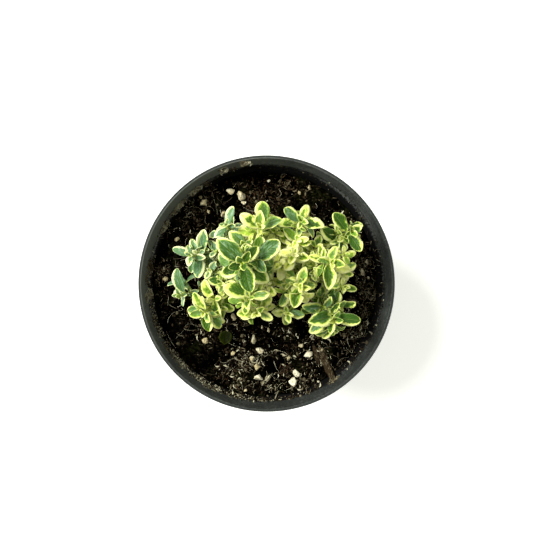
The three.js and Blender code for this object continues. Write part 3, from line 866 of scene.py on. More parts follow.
def add_wall_clumps(pile, draw):
    """Clumps of mix and root stuck to the wall where the pot was filled."""
    rock, sliver = rock_template(2), sliver_template()
    for angle, climb, spread, count, red, size in WALL_CLUMPS:
        for _ in range(count):
            turn = math.radians(angle) + draw.gauss(0, spread / RIM_RADIUS)
            height = LEDGE_TOP + max(0, climb + draw.gauss(0, spread))
            height = min(height, POT_HEIGHT - 0.6)
            spot = around(wall_inside(height) - 0.45 * draw.random(), turn, height)
            bit = draw.uniform(0.2, 0.45) * size
            flat = (bit * draw.uniform(1, 2.6), bit * 0.6, bit * 0.5)
            lump = draw.choice((rock, sliver, sliver))
            look = (draw.uniform(0.35, 0.85), draw.random(), red * draw.random())
            pile.put(spot, flat, tumbled(draw), lump, look)


def add_wall_roots(pile, draw):
    """Curls of root and torn bark that dried onto the wall."""
    rod = rod_template(4, 14)
    for angle, low, high, spread, count, tone, red in WALL_ROOTS:
        for _ in range(count):
            turn = math.radians(angle) + draw.gauss(0, spread / RIM_RADIUS)
            wide, phase = draw.uniform(0.6, 1.2), draw.uniform(0, 6)
            bottom = LEDGE_TOP + draw.uniform(low, high)
            tall = draw.uniform(0.3, 1) * (high - low)
            loops = draw.uniform(4, 7)
            width = draw.uniform(0.13, 0.24)

            def curve(t):
                swing = loops * t + phase
                height = min(bottom + tall * (t - 0.5), POT_HEIGHT - 0.8)
                aside = (wide * math.cos(swing) + 0.8 * math.sin(2.3 * swing)) / RIM_RADIUS
                inward = 0.8 * wide * (1 + math.sin(1.6 * swing + phase))
                return around(wall_inside(height) - 0.3 - inward, turn + aside, height)

            look = (tone + draw.uniform(-0.2, 0.2), draw.random(), red * draw.random())
            bend_rod(pile.add(rod, bit=look), curve, width, 0.5)


BIT_DARK = (0.0003, 0.00025, 0.0002)
BIT_BROWN = (0.034, 0.0245, 0.0125)
BIT_RED = (0.072, 0.034, 0.014)
BIT_TAN = (0.20, 0.175, 0.100)
BIT_PALE = (0.56, 0.54, 0.36)


def make_bits_finish():
    """Bark, wood and fibre: each bit's own tone runs from peat black to bleached straw."""
    look = Finish("bark_and_fibre")
    tone, seed, red = look.attribute("bit")
    streak = look.grain(0.5, 3, 0.6)
    shade = tone + (streak - 0.5) * 0.35 + (seed - 0.5) * 0.08
    colour = look.ramp(shade, (0, BIT_DARK), (0.42, BIT_BROWN), (0.78, BIT_TAN), (1, BIT_PALE))
    colour = look.blend(red * (0.5 + streak * 0.5), colour, BIT_RED)
    return look.surface(
        base_color=colour,
        roughness=0.78 + streak * 0.15,
        normal=look.bump(streak, 0.12, 0.7),
        specular_ior_level=0.0,
    )


bits_finish = make_bits_finish()
BITS = {  # what adds the bits of each piece, and its seed
    "peat_crumbs": (add_crumbs, 0),
    "bark_chips": (add_chips, 1),
    "fibres": (add_fibres, 2),
    "bark_tangles": (add_tangles, 5),
    "ledge_grit": (add_ledge_grit, 3),
    "wall_clumps": (add_wall_clumps, 4),
    "wall_roots": (add_wall_roots, 6),
}
for name, (add_bits, seed) in BITS.items():
    pile = Pile("bit")
    add_bits(pile, random.Random(BITS_SEED + seed))
    bits = finish_piece(name, pile.whole(), bits_finish)
    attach(bits, "root")

# ---------------------------------------------------------------- perlite and bark
# White expanded perlite: light, pitted grains that work their way to the top of the mix. Two
# larger strips of bark lie in front, with two smaller ones, all torn and stringy.

PERLITE = [  # x, y, radius, turn in degrees and share of stain
    (-16.2, 41.2, 1.8, 0, 0.35), (-11.2, 39.4, 2.4, -45, 0.3), (-28.5, 36.1, 1.8, 10, 0.4),
    (-19.4, 31.1, 1.7, 20, 0.5), (-45.5, 1.5, 1.4, 70, 0.95), (-14.8, -15.3, 1.5, 80, 0.5),
    (-27.4, -25.7, 1.5, 0, 0.6), (-5.7, -25.8, 1.7, 80, 0.35), (-2.9, -30.7, 1.7, -12, 0.2),
    (-6.6, -34.3, 1.5, 110, 0.35), (-4.3, -38.0, 1.6, 60, 0.95), (-3.9, -42.6, 1.9, -20, 0.15),
    (18.9, -32.7, 2.0, 88, 0), (13.4, -40.8, 1.7, 100, 0.05), (11.6, -44.6, 2.1, 115, 0.1),
    (43.8, 4.6, 1.4, 90, 0.3), (-10.3, 36.2, 1.1, 0, 0.2), (-29.9, 38.9, 0.9, 0, 0.6),
    (-26.2, 32.0, 0.9, 90, 0.6), (19.5, 43.0, 1.1, 90, 0.6), (14.9, 40.9, 0.9, 0, 0.7),
    (-40.2, 19.6, 1.1, 0, 0.9), (-15.2, -31.6, 1.1, 60, 0.6), (-2.0, -20.3, 0.7, 80, 0.3),
    (15.7, -28.6, 1.1, 20, 0.4), (9.8, -34.0, 1.1, 80, 0.6), (24.8, -30.4, 0.9, 0, 0.8),
    (45.8, 9.2, 1.1, 90, 0.3), (46.4, 2.2, 0.7, 0, 0.3), (1.1, 46.4, 0.7, 0, 0),
    (23.4, -44.6, 0.5, 0, 0), (1.0, -21.5, 0.9, 90, 0.4), (-9.3, -48.4, 0.7, 40, 0.4),
]
BARK = [  # x, y, length, width, turn and tone
    (26.9, -36.6, 15.0, 3.0, -67, 0.40),
    (22.5, -32.6, 8.0, 1.8, -76, 0.36),
    (-0.2, -43.9, 5.4, 1.8, 48, 0.86),
    (39.6, -8.2, 3.6, 1.2, -15, 0.62),
]
PERLITE_SEED = 311
PERLITE_SHAPES = 8  # how many different grains are broken, each with this many cuts
PERLITE_CUTS = 11
BARK_SEED = 77
BARK_STRANDS = 2.4  # for each square millimetre
PERLITE_WHITE = (0.80, 0.75, 0.52)
PERLITE_STAINED = (0.42, 0.35, 0.17)
PERLITE_PIT_SHADE = (0.08, 0.065, 0.04)


def broken_template(draw):
    """A lump broken along flat faces, with its edges worn round."""
    shape = bmesh.new()
    bmesh.ops.create_icosphere(shape, subdivisions=3, radius=1)
    for _ in range(PERLITE_CUTS):
        heading = Vector((draw.gauss(0, 1), draw.gauss(0, 1), draw.gauss(0, 1))).normalized()
        depth = draw.uniform(0.40, 0.75)
        for vertex in shape.verts:
            over = vertex.co.dot(heading) - depth
            if over > 0:
                vertex.co -= heading * over * 0.97
    for vertex in shape.verts:
        dents = 0.24 * noise.noise(vertex.co * 2.4) + 0.14 * noise.noise(vertex.co * 6.5)
        vertex.co *= 1 + dents
    return template(shape)


def make_perlite():
    draw = random.Random(PERLITE_SEED)
    rocks = [broken_template(draw) for _ in range(PERLITE_SHAPES)]
    pile = Pile("bit")
    for i, (x, y, radius, turn, stain) in enumerate(PERLITE):
        spot = (x, y, soil_top(x, y) + 0.3 * radius)
        size = (1.3 * radius, radius * draw.uniform(0.95, 1.15), radius)
        turned = Matrix.Rotation(math.radians(turn), 4, "Z")
        pile.put(spot, size, turned, rocks[i % len(rocks)], (stain, draw.random(), 0))
    return smoothed(pile.whole())


def make_perlite_finish():
    look = Finish("perlite")
    stain, _, _ = look.attribute("bit")
    blotch = look.grain(1.6, 3)
    pits = {"Vector": look.place(), "Scale": 1 / (0.55 * MM)}
    pit = look.node("ShaderNodeTexVoronoi", None, pits, "Distance")
    stained = (blotch * 1.1 + stain * 0.6).rise(0.45, 0.9)
    colour = look.blend(stained, PERLITE_WHITE, PERLITE_STAINED)
    # darker in the pits: painted shade
    colour = look.blend((1 - pit.rise(0.05, 0.26)) * 0.5, colour, PERLITE_PIT_SHADE)
    return look.surface(
        base_color=colour,
        roughness=0.8 + blotch * 0.15,
        normal=look.bump(pit, 0.4),
    )


def strip_template():
    shape = bmesh.new()
    bmesh.ops.create_cube(shape, size=1)
    bmesh.ops.subdivide_edges(shape, edges=shape.edges, cuts=9, use_grid_fill=True)
    return template(shape)


def make_bark():
    """Torn strips of bark, rounded over, with loose strands along them."""
    draw = random.Random(BARK_SEED)
    block, sliver = strip_template(), sliver_template()
    pile = Pile("bit")
    for x, y, length, width, turn, tone in BARK:
        heading = math.radians(turn)

        def place(a, b, c):
            """A point of the strip from its share along, across and up."""
            rough = noise.noise((a * length / 1.5, b * 6 + x, c * 3))
            ragged = noise.noise((b * 3, x, 0))
            along = a * length * (1 + 0.05 * rough + 0.22 * ragged)
            aside = b * width * (1 - 0.45 * min(1, abs(2 * a)) ** 3) * (1 + 0.5 * rough)
            px = x + along * math.cos(heading) - aside * math.sin(heading)
            py = y + along * math.sin(heading) + aside * math.cos(heading)
            top = (0.25 - b * b) * width * 0.4 + c * width * 0.25
            floor = soil_top(px, py)
            if math.hypot(px, py) > body_inside(floor) - 1.5:
                floor = LEDGE_TOP
            return Vector((px, py, floor + top + 0.3 * rough))

        strip = pile.add(block, bit=(tone - 0.15, draw.random(), 0.1))
        for vertex in strip:
            vertex.co = place(*vertex.co)
        for _ in range(int(BARK_STRANDS * length * width)):
            middle = place(draw.uniform(-0.5, 0.5), draw.uniform(-0.5, 0.5), 0.55)
            size = (draw.uniform(0.6, 3.2), draw.uniform(0.10, 0.36), 0.16)
            turned = Matrix.Rotation(heading + draw.gauss(0, 0.25), 4, "Z")
            tilted = Matrix.Rotation(draw.gauss(0, 0.12), 4, "Y")
            look = (tone + draw.uniform(-0.1, 0.3), draw.random(), 0.3 * draw.random())
            pile.put(middle, size, turned @ tilted, sliver, look)
    return smoothed(pile.whole())


perlite = finish_piece("perlite", make_perlite(), make_perlite_finish())
bark = finish_piece("bark_strips", make_bark(), bits_finish)
for piece in (perlite, bark):
    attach(piece, "root")

# ---------------------------------------------------------------- thyme: stems
# Thyme has thin square stems, brown and woody at the foot and pale green at the tip. A shoot
# leans out from the crown low down and turns up to the light, and side shoots fork from it.

CROWN = (0.5, 6)
ROOT_SHARE = 0.42
LEAN_AT_TIP = 0.35
FORK_HEIGHT = 0.42
STEM_DEPTH = 9
STEM_RADIUS = 0.85
SHOOT_RADIUS = 0.42
FORK_RADIUS = 0.85 * mix(STEM_RADIUS, SHOOT_RADIUS, FORK_HEIGHT)
FORK_AGE = 0.55  # how woody a side shoot is at its foot, where the main stem's foot has 1
STEM_SIDES = 8
STEM_PIECES = 16
STEM_CORNERS = 0.10  # how far a stem's corners stand out, as a share of its radius
PAIR_DROP = [0.5, 2.2, 4.6, 7.8, 11.8, 16.6, 22, 28, 34.4]  # of each leaf pair below the tip
PAIR_TWIST = [0, 0, 0, 0, 36, 36, 66, 66, 100]  # degrees that the ranks have wound by there

# A row for each shoot gives its tip, its number of leaf pairs, and the heading in degrees and the
# full leaf length of its four ranks. The first shoot of a spray stands in the mix.
SPRAYS = {
    "crown_tall": [
        [[-8.4, 8.4, 138], 9, [[130, 11.2], [290, 10.6], [208, 8.4], [54, 7.6]]],
        [[-3.9, 9.9, 130], 6, [[47, 10.4], [215, 6], [298, 9.2], [120, 6]]],
    ],
    "crown_back": [[[-8.2, 15.2, 118], 7, [[131, 9], [311, 5], [40, 6], [205, 6]]]],
    "back_middle": [
        [[-2.3, 21.9, 124], 8, [[140, 9], [22, 8.4], [82, 10.4], [258, 6]]],
        [[3.8, 21, 113], 4, [[60, 5.4], [240, 5], [150, 6], [335, 6]]],
    ],
    "back_left": [
        [[-15.6, 23.5, 116], 7, [[73, 7.4], [228, 6], [180, 5], [350, 5]]],
        [[-18.4, 21, 108], 3, [[190, 5.6], [20, 4], [100, 4], [280, 5]]],
    ],
    "left_upper": [
        [[-30.2, 11.8, 112], 7, [[157, 7.8], [345, 5], [257, 6.6], [114, 6.6]]],
        [[-27.6, 12.4, 108], 4, [[76, 10.4], [272, 9.6], [345, 6], [175, 5]]],
    ],
    "left_lower": [[[-34.8, -4.5, 108], 6, [[262, 4.8], [97, 10.8], [186, 6.2], [10, 5]]]],
    "front_left": [
        [[-24.4, -10.5, 118], 7, [[115, 8.6], [277, 8], [190, 8], [307, 8.6]]],
        [[-21.4, -6, 111], 4, [[118, 8.4], [292, 8], [200, 5], [20, 6]]],
    ],
    "left_inner": [[[-17.7, 0.2, 113], 7, [[191, 5.8], [0, 5.4], [120, 5.4], [262, 5.4]]]],
    "left_shaded": [
        [[-22.8, 5.7, 107], 6, [[150, 5.6], [305, 6.4], [60, 7], [240, 6.4]]],
        [[-20.4, 13.8, 109], 3, [[150, 5.4], [335, 5], [235, 5.6], [62, 4.6]]],
    ],
    "front_middle": [[[-6.5, -4.7, 124], 8, [[158, 9.4], [8, 7.4], [106, 5.8], [249, 6.6]]]],
    "front_edge": [[[-3.8, -10.9, 115], 7, [[184, 8.2], [336, 6.8], [229, 5], [48, 7]]]],
    "back_right": [[[13.2, 24.8, 122], 8, [[142, 7.6], [334, 9.2], [72, 7.8], [255, 5]]]],
    "middle_back": [[[12.2, 17.6, 117], 7, [[128, 7], [320, 6], [18, 6.2], [231, 5.8]]]],
    "right_upper": [
        [[33.2, 21.2, 116], 7, [[137, 8.8], [302, 8.6], [30, 7.8], [225, 5]]],
        [[29, 17.5, 110], 4, [[143, 8], [320, 5], [195, 5.4], [60, 5]]],
    ],
    "right_middle": [
        [[24.3, 8.8, 124], 8, [[72, 7], [259, 9.2], [158, 7.6], [350, 8.4]]],
        [[19.9, 15.4, 112], 4, [[75, 5], [255, 5], [140, 5], [15, 5]]],
        [[30.4, 4.8, 114], 4, [[18, 7], [195, 5], [338, 6.8], [140, 5]]],
    ],
    "right_edge": [[[31, 12, 113], 7, [[15, 5.6], [200, 5], [100, 5.4], [290, 6]]]],
    "right_lower": [
        [[31.2, -0.6, 112], 7, [[350, 5.8], [187, 4.6], [113, 6], [270, 4]]],
        [[30.6, -9.4, 106], 3, [[10, 6.4], [195, 4], [75, 4.6], [285, 4]]],
    ],
    "middle": [
        [[10.8, 11.8, 121], 8, [[352, 5.6], [172, 5.4], [248, 6.6], [78, 5]]],
        [[5.8, 8.1, 114], 5, [[125, 7.4], [285, 6], [215, 5.6], [40, 5]]],
    ],
    "middle_front": [
        [[12.9, -0.5, 122], 8, [[83, 7.4], [257, 8.2], [158, 5.6], [352, 6.6]]],
        [[9, -1.5, 112], 4, [[240, 7.4], [60, 5], [150, 7], [330, 5]]],
    ],
    "front_low": [[[8.6, -11.8, 106], 5, [[177, 5.6], [343, 7.4], [274, 6.6], [94, 5]]]],
    "right_front": [
        [[26.6, -13.3, 116], 7, [[190, 11], [356, 10], [252, 9.6], [62, 5.8]]],
        [[23.7, -9.1, 109], 4, [[180, 9], [0, 6], [64, 8], [245, 5]]],
        [[21.3, -5, 105], 3, [[160, 6], [345, 6], [70, 5], [250, 6]]],
    ],
    "middle_shaded": [[[19, 4.5, 108], 6, [[15, 5.4], [194, 7.4], [102, 5.6], [280, 6]]]],
    "crown_front": [[[-1.8, 0.1, 111], 6, [[125, 5.6], [318, 6.4], [30, 5.6], [215, 5.6]]]],
}


class Shoot:
    """A stem's line from its start to its tip, and the leaf pairs and ranks that it carries."""

    def __init__(self, start, tip, pairs=0, ranks=(), is_main=False):
        self.start, self.tip = Vector(start), Vector(tip)
        self.pairs, self.ranks, self.is_main = pairs, ranks, is_main

    def __call__(self, t):
        out = (1 - LEAN_AT_TIP) * (1 - (1 - t) ** 2) + LEAN_AT_TIP * t
        point = self.start.lerp(self.tip, out)
        point.z = mix(self.start.z, self.tip.z, t)
        return point

    def axes(self, t):
        """Across, along and up the stem, with "across" as near to +X as the stem allows."""
        step = 0.01
        up = (self(t + step) - self(t - step)).normalized()
        across = (Vector((1, 0, 0)) - up * up.x).normalized()
        return across, up.cross(across), up

    def at_pair(self, k):
        """Where leaf pair k sits, and the stem's axes there."""
        t = 1 - PAIR_DROP[k] / (self.tip.z - self.start.z)
        return self(t), self.axes(t)

    def rank(self, k, hand):
        """The heading in degrees and full leaf length of the first or second side of pair k."""
        heading, length = self.ranks[2 * (k % 2) + hand]
        return heading + PAIR_TWIST[k], length


def shoots_of(rows):
    """The shoots of one spray. The first stands in the mix and the others fork from it."""
    shoots = []
    for tip, pairs, ranks in rows:
        if shoots:
            start = shoots[0](FORK_HEIGHT)
        else:
            x, y = mix(CROWN[0], tip[0], ROOT_SHARE), mix(CROWN[1], tip[1], ROOT_SHARE)
            start = (x, y, soil_top(x, y) - STEM_DEPTH)
        shoots.append(Shoot(start, tip, pairs, ranks, not shoots))
    return shoots


def outward(axes, turn):
    """The direction square to a stem at this turn round it."""
    across, along, _ = axes
    return across * math.cos(turn) + along * math.sin(turn)


stem_rod = rod_template(STEM_SIDES, STEM_PIECES)


def add_stem(pile, shoot, foot_radius, tip_radius, foot_age):
    """A tapering square stem along a shoot. Its age runs from foot_age down to 0 at the tip."""
    rod = pile.add(stem_rod)
    layer = pile.layer("stem")
    for vertex in rod:
        x, y, t = vertex.co
        angle = math.atan2(y, x)
        vertex[layer] = (angle, t * (shoot.tip - shoot.start).length, foot_age * (1 - t))
        radius = mix(foot_radius, tip_radius, t) * (1 + STEM_CORNERS * math.cos(4 * angle))
        vertex.co = shoot(t) + outward(shoot.axes(t), angle) * radius
    for vertex in rod:
        for face in vertex.link_faces:
            face.material_index = 1


STEM_YOUNG = (0.36, 0.47, 0.06)
STEM_GREEN = (0.14, 0.19, 0.05)
STEM_WOODY = (0.13, 0.062, 0.032)


def make_stem_finish():
    look = Finish("thyme_stem")
    angle, along, age = look.attribute("stem")
    streak = look.grain(0.6, 3)
    shade = age + (streak - 0.5) * 0.3
    colour = look.ramp(
        shade, (0, STEM_YOUNG), (0.28, STEM_GREEN), (0.6, STEM_WOODY), (1, STEM_WOODY)
    )
    ridges = (angle * 4).math("COSINE") * 0.5 + (along * 5).math("SINE") * 0.2
    return look.surface(
        base_color=colour,
        roughness=0.5 + streak * 0.2,
        normal=look.bump(ridges + streak, 0.05),
    )


stem_finish = make_stem_finish()

# ---------------------------------------------------------------- thyme: leaves
# Small blunt leaves in opposite pairs, each pair turned a quarter from the last. A leaf is green
# with a yellow or cream border of uneven width, folded a little along its midrib.

LEAF_THICKNESS = 0.36
KEEL = 0.8  # from the edges to the keel of the plain solid blade
LEAF_WIDTH = 0.53
LEAF_STALK = 0.08
STALK_HALF = 0.17
PAIR_SHARE = [0.52, 0.8, 1.14, 1.1, 1.02, 0.96, 0.92, 0.88, 0.84]
PAIR_LIFT = [62, 42, 24, 12, 4, 0, -4, -8, -10]
BARE_FOOT = 6
TRIES = [  # the bends that a solid leaf tries, in degrees, until it is clear of other sprays
    (size, lift, turn)
    for size in (1, 0.85, 0.7)
    for lift in (0, 16, -14, 30)
    for turn in (0, 15, -15, 30, -30)
]
SAME_CORNER = 0.03  # corners this near to each other are the same


def draws_from(seed):
    """A repeatable stream of numbers from 0 to 1."""
    state = seed
    while True:
        state = state * 48271 % 2147483647
        yield state / 2147483647


def leaf_shape(s, roundness=0.65, fullest=1.15):
    """Half width of a leaf at share s of its length, from a narrow stalk to a blunt tip."""
    blade = max(0, (s - LEAF_STALK) / (1 - LEAF_STALK))
    return max(0, math.sin(math.pi * blade**fullest)) ** roundness


class Leaf:
    """One leaf: where it sits on its stem, and which way it grows and faces."""

    def __init__(self, base, out, face, length, width, arch, cup):
        self.base, self.out, self.face, self.side = base, out, face, out.cross(face)
        self.length, self.width, self.arch, self.cup = length, width, arch, cup

    def point(self, s, half, w):
        """The point at share s of the length, "half" to the side and w over the face."""
        arch = self.arch * self.length * (1.6 * s * (1 - s) - 0.35 * s * s)
        rise = arch + self.cup * abs(half) + w
        return self.base + self.out * (self.length * s) + self.side * half + self.face * rise


def aimed(axes, heading, lift):
    """Where a leaf with this heading and lift grows to, and where it faces if it has no roll."""
    flat, up = outward(axes, heading), axes[2]
    return flat * math.cos(lift) + up * math.sin(lift), up * math.cos(lift) - flat * math.sin(lift)


def leaf_on(shoot, k, hand, wobble, bend):
    """The leaf that a shoot carries in pair k on its first or second side."""
    size, bend_lift, bend_turn = bend
    rank_heading, rank_length = shoot.rank(k, hand)
    base, axes = shoot.at_pair(k)
    heading = math.radians(rank_heading + 20 * (wobble[0] - 0.5) + bend_turn)
    lift = math.radians(PAIR_LIFT[k] + 18 * (wobble[1] - 0.5) + bend_lift)
    out, level = aimed(axes, heading, lift)
    face = Matrix.Rotation(math.radians(36 * (wobble[2] - 0.5)), 3, out) @ level
    length = rank_length * PAIR_SHARE[k] * (0.93 + 0.14 * wobble[3]) * size
    width = length * LEAF_WIDTH * (0.88 + 0.24 * wobble[4])
    return Leaf(base, out, face, length, width, 0.05 + 0.25 * wobble[5], 0.05 + 0.3 * wobble[6])


def solid_corners(leaf, k):
    """Where the plain solid's blade has its tip, edges and keel, in its outer half."""
    stations = (0.82,) if k == 0 or k > 3 else (0.64, 0.91)
    corners = [leaf.point(1, 0, 0)]
    for s in stations:
        half = 0.5 * leaf.width * leaf_shape(s)
        corners += [leaf.point(s, half, 0), leaf.point(s, -half, 0), leaf.point(s, 0, -KEEL)]
    return corners


def find_leaf(shoot, k, hand, wobble, solid):
    """The leaf, bent as it is in the solid spray, or none where it was left out."""
    for bend in TRIES:
        leaf = leaf_on(shoot, k, hand, wobble, bend)
        if sum(solid.find(c)[2] < SAME_CORNER for c in solid_corners(leaf, k)) >= 3:
            return leaf
    return None


def corner_tree(node):
    """The corners of a solid spray, for looking up."""
    corners = frame["nodes"][node].data.vertices
    tree = KDTree(len(corners))
    for i, corner in enumerate(corners):
        tree.insert(corner.co / MM, i)
    tree.balance()
    return tree


def blade_template(sides, stations):
    """A flat closed blade. x is a share of the half width, y of the length, z of the thickness."""
    shape = bmesh.new()
    rings = len(stations) - 1
    bmesh.ops.create_uvsphere(shape, u_segments=sides, v_segments=rings, radius=1)
    for vertex in shape.verts:
        x, y, z = vertex.co
        ring = round(math.acos(max(-1, min(1, -z))) / math.pi * rings)
        turn = math.atan2(y, x) if 0 < ring < rings else math.pi / 2
        vertex.co = (math.cos(turn), stations[ring], math.sin(turn) if 0 < ring < rings else 0)
    shape.normal_update()  # the sphere's own normals would leave some blades inside out
    bmesh.ops.recalc_face_normals(shape, faces=shape.faces)
    return template(smoothed(shape))


BLADE = blade_template(8, (0, 0.08, 0.17, 0.31, 0.47, 0.62, 0.76, 0.87, 0.945, 0.985, 1))
BUD_BLADE = blade_template(6, (0, 0.12, 0.33, 0.58, 0.82, 0.95, 1))
SMALL_LEAF_FINENESS = 1.9  # how much finer a small leaf's pattern is drawn
LEAF_FOLD = 0.46  # the most that a blade is folded up along its midrib
BLADE_FULLNESS = 0.97
BLADE_ROUNDNESS = 0.46
BLADE_FULLEST = 1.35  # above 1, the leaf is broadest beyond its middle


def add_leaf(pile, leaf, blade, own, draw):
    """Adds a blade to a spray. Its "own" numbers are its seed, its border's width and its tint."""
    fineness = 1 if blade is BLADE else SMALL_LEAF_FINENESS
    lean = draw.uniform(-1, 1)
    pale_tip = draw.random() ** 2
    fold = draw.uniform(0.15, 1) * LEAF_FOLD
    cream = draw.random()
    wave = draw.uniform(0.03, 0.10) * leaf.width
    phase = draw.uniform(0, 6)
    notch = draw.uniform(0, 0.05)
    curl = draw.uniform(-0.10, 0.50)
    twist = draw.uniform(-0.30, 0.30)
    skin = pile.add(blade, leaf_self=own)
    place, more = pile.layer("leaf_place"), pile.layer("leaf_more")
    for vertex in skin:
        u, s, w = vertex.co
        full = 0.5 * leaf.width * BLADE_FULLNESS * leaf_shape(s, BLADE_ROUNDNESS, BLADE_FULLEST)
        half = max(full, STALK_HALF if 0 < s < 0.5 else 0) * (1 + notch * math.sin(13 * s + phase))
        ripple = wave * u * u * math.sin(9 * s + phase + 2 * u)
        ripple += half * (curl * abs(u) ** 3 + twist * u * s + fold * abs(u))
        shift = half * u * lean * 0.65 - max(0, s - 0.5) * pale_tip * leaf.width * 0.6
        thickness = 0.5 * LEAF_THICKNESS * (1 if s < 0.3 else 0.8)
        edge = half * (1 - abs(u)) if 0 < s < 1 else 0
        vertex[place] = (u * half, s * leaf.length, edge * fineness)
        vertex[more] = (0.5 + 0.5 * w, shift, cream)
        vertex.co = leaf.point(s, u * half, thickness * w + ripple)


BLOOM_GREEN = (0.105, 0.218, 0.085)  # a greyish green leaf
PAINTED_SHEEN = (0.40, 0.50, 0.42)  # a painted sheen on it, in pale streaks
YOUNG_GREEN = (0.40, 0.52, 0.05)  # the leaflets at the heart of a rosette
LEAF_GLOW = 0.2  # how much of the light passes into the blade
GLOW_REACH = Vector((0.9, 1.0, 0.35))  # and how far each colour goes, in millimetres
LEAF_COLOURS = {  # deep and fresh green, border, its rim, which is also painted along the very edge as a highlight, the underside, and how greyish it is
    "green_leaf": (
        (0.034, 0.088, 0.010), (0.155, 0.288, 0.030),
        (0.58, 0.66, 0.135), (0.69, 0.74, 0.27), (0.36, 0.50, 0.16), 0.16,
    ),
    "gold_leaf": (
        (0.042, 0.100, 0.010), (0.195, 0.335, 0.032),
        (0.62, 0.69, 0.145), (0.73, 0.76, 0.28), (0.48, 0.58, 0.16), 0.10,
    ),
    "cream_and_brightened_leaf": (
        (0.060, 0.150, 0.008), (0.260, 0.430, 0.030),
        (0.86, 0.93, 0.20), (0.94, 0.95, 0.42), (0.68, 0.76, 0.24), 0,
    ),
    "silver_leaf": (
        (0.050, 0.125, 0.030), (0.170, 0.300, 0.090),
        (0.64, 0.72, 0.24), (0.77, 0.82, 0.42), (0.42, 0.54, 0.28), 0.85,
    ),
}


def leaf_finish(name, deep, fresh, border, rim, underside, bloom, shine=0.11, young=0.6):
    """Leaf skin: a two-toned green heart that melts into a pale border of uneven width, with
    painted sheen and a painted highlight along the edge.
    """
    look = Finish(name)
    across, along, edge = look.attribute("leaf_place")
    seed, width, tint = look.attribute("leaf_self")
    top, shift, cream = look.attribute("leaf_more")
    blotch = look.grain(2.4, 2) - 0.5
    ragged = look.grain(0.9, 2, 0.6) - 0.5
    mottle = look.grain(0.45, 3, 0.6) - 0.5
    drawn_out = {"X": across * MM, "Y": along * (0.2 * MM), "Z": seed}
    # Lengthwise streaks: partly the leaf's own mottling, partly painted sheen.
    streak = look.grain(0.7, 2, where=look.node("ShaderNodeCombineXYZ", None, drawn_out)) - 0.5
    off_rib = abs(across)
    inward = edge + blotch * (width * 2.6 + 0.9) + ragged * 1.1 + shift
    green_share = inward.rise(width * 0.7, width * 1.1 + 0.22)
    deep_share = inward.rise(width * 1.1 + 0.1, width * 1.4 + 0.8)
    veins = ((along - off_rib * 1.1 - across * across * 0.2) * 0.7).math("FRACT") - 0.5
    vein = 1 - abs(veins).rise(0.0, 0.34)
    rib = 1 - off_rib.rise(0.03, 0.16)
    tone = tint + 0.33 - deep_share * 0.7 + mottle * 0.5 + streak * 1.3 + (seed - 0.5) * 0.8
    green = look.blend(tone.rise(0, 1), deep, fresh)
    green = look.blend(tint.rise(0.95, 1.5) * 0.8, green, YOUNG_GREEN)
    silvered = (bloom + (seed - 0.5) * 1.0 + streak * 0.8).rise(0.15, 0.85)
    green = look.blend(silvered * 0.85, green, BLOOM_GREEN)
    # pale streaks over the greyish green: painted sheen
    green = look.blend(silvered * (streak + mottle * 0.4).rise(-0.05, 0.3) * 0.55, green, PAINTED_SHEEN)
    pale = (inward + cream * 0.3).rise(width * 0.1, width * 0.8)
    colour = look.blend(green_share, look.blend(pale, rim, border), green)
    colour = look.blend(rib * 0.16 * green_share, colour, border)
    # A thin line of the rim colour along the very edge: partly the leaf's cream edge, partly a
    # painted highlight.
    colour = look.blend((1 - (edge + ragged * 0.15).rise(0.02, 0.18)) * 0.45, colour, rim)
    colour = look.blend((1 - along.rise(0.2, 1.6)) * young, colour, YOUNG_GREEN)
    colour = look.blend((1 - top.rise(0.2, 0.6)) * 0.4, colour, underside)
    height = vein * -0.8 * (0.3 + green_share * 0.7) - rib * 1.2 + mottle * 0.4 + streak * 1.1
    return look.surface(
        base_color=colour,
        roughness=0.40 + mottle * 0.2 - top * 0.06,
        normal=look.bump(height, 0.13, 0.8),
        specular_ior_level=shine,
        subsurface_weight=LEAF_GLOW,
        subsurface_radius=GLOW_REACH,
        subsurface_scale=MM,
    )


# The mean width of each spray's borders, how fresh its green is, where 0 is deep and 1 light, and
# its leaves' width as a share of the plain solid's. A fourth number is the first pair whose axils
# carry twigs, where that isn't the fourth.
# The sprays in the middle of the clump have wider borders and fresher greens, partly painted light
# for the shade that they lie in.
SPRAY_LOOKS = {
    "crown_tall": (0.13, 0.34, 1), "crown_back": (0.20, 0.42, 1),
    "back_middle": (0.70, 0.62, 1), "back_left": (0.20, 0.45, 0.9),
    "left_upper": (0.28, 0.55, 0.9), "left_lower": (0.22, 0.55, 0.75),
    "front_left": (0.58, 0.55, 0.95), "left_inner": (0.60, 0.65, 1, 2),
    "left_shaded": (0.40, 0.55, 0.95, 2), "front_middle": (0.56, 0.60, 0.95),
    "front_edge": (0.54, 0.55, 1), "back_right": (0.42, 0.42, 1),
    "middle_back": (0.70, 0.75, 1), "right_upper": (0.40, 0.32, 1),
    "right_middle": (0.56, 0.42, 0.95), "right_edge": (0.95, 0.75, 1),
    "right_lower": (0.55, 0.42, 1), "middle": (1.15, 0.95, 1.15, 2),
    "middle_front": (0.78, 0.70, 1, 2), "front_low": (0.50, 0.50, 1),
    "right_front": (0.33, 0.22, 0.95), "middle_shaded": (0.85, 0.55, 1, 2),
    "crown_front": (1.50, 0.95, 1.3, 1),
}
CREAM_AND_BRIGHTENED_SPRAYS = ("middle", "crown_front", "middle_back")  # creamier and brighter than their slot's own look: partly their own cream leaves, partly painted light for the shade they lie in
LOW_BORDER = 1.5  # how much wider the borders of the leaves low in the clump are, partly with age, partly as painted fill light
LOW_TINT = 0.38  # and how much fresher their green: painted fill light for the shade they are in
BUD_SHARE = 0.28  # a bud leaf's length as a share of the full leaf's
BUD_TINT = 1.5
TWIG_PAIR = 3  # the first pair whose axils carry twigs
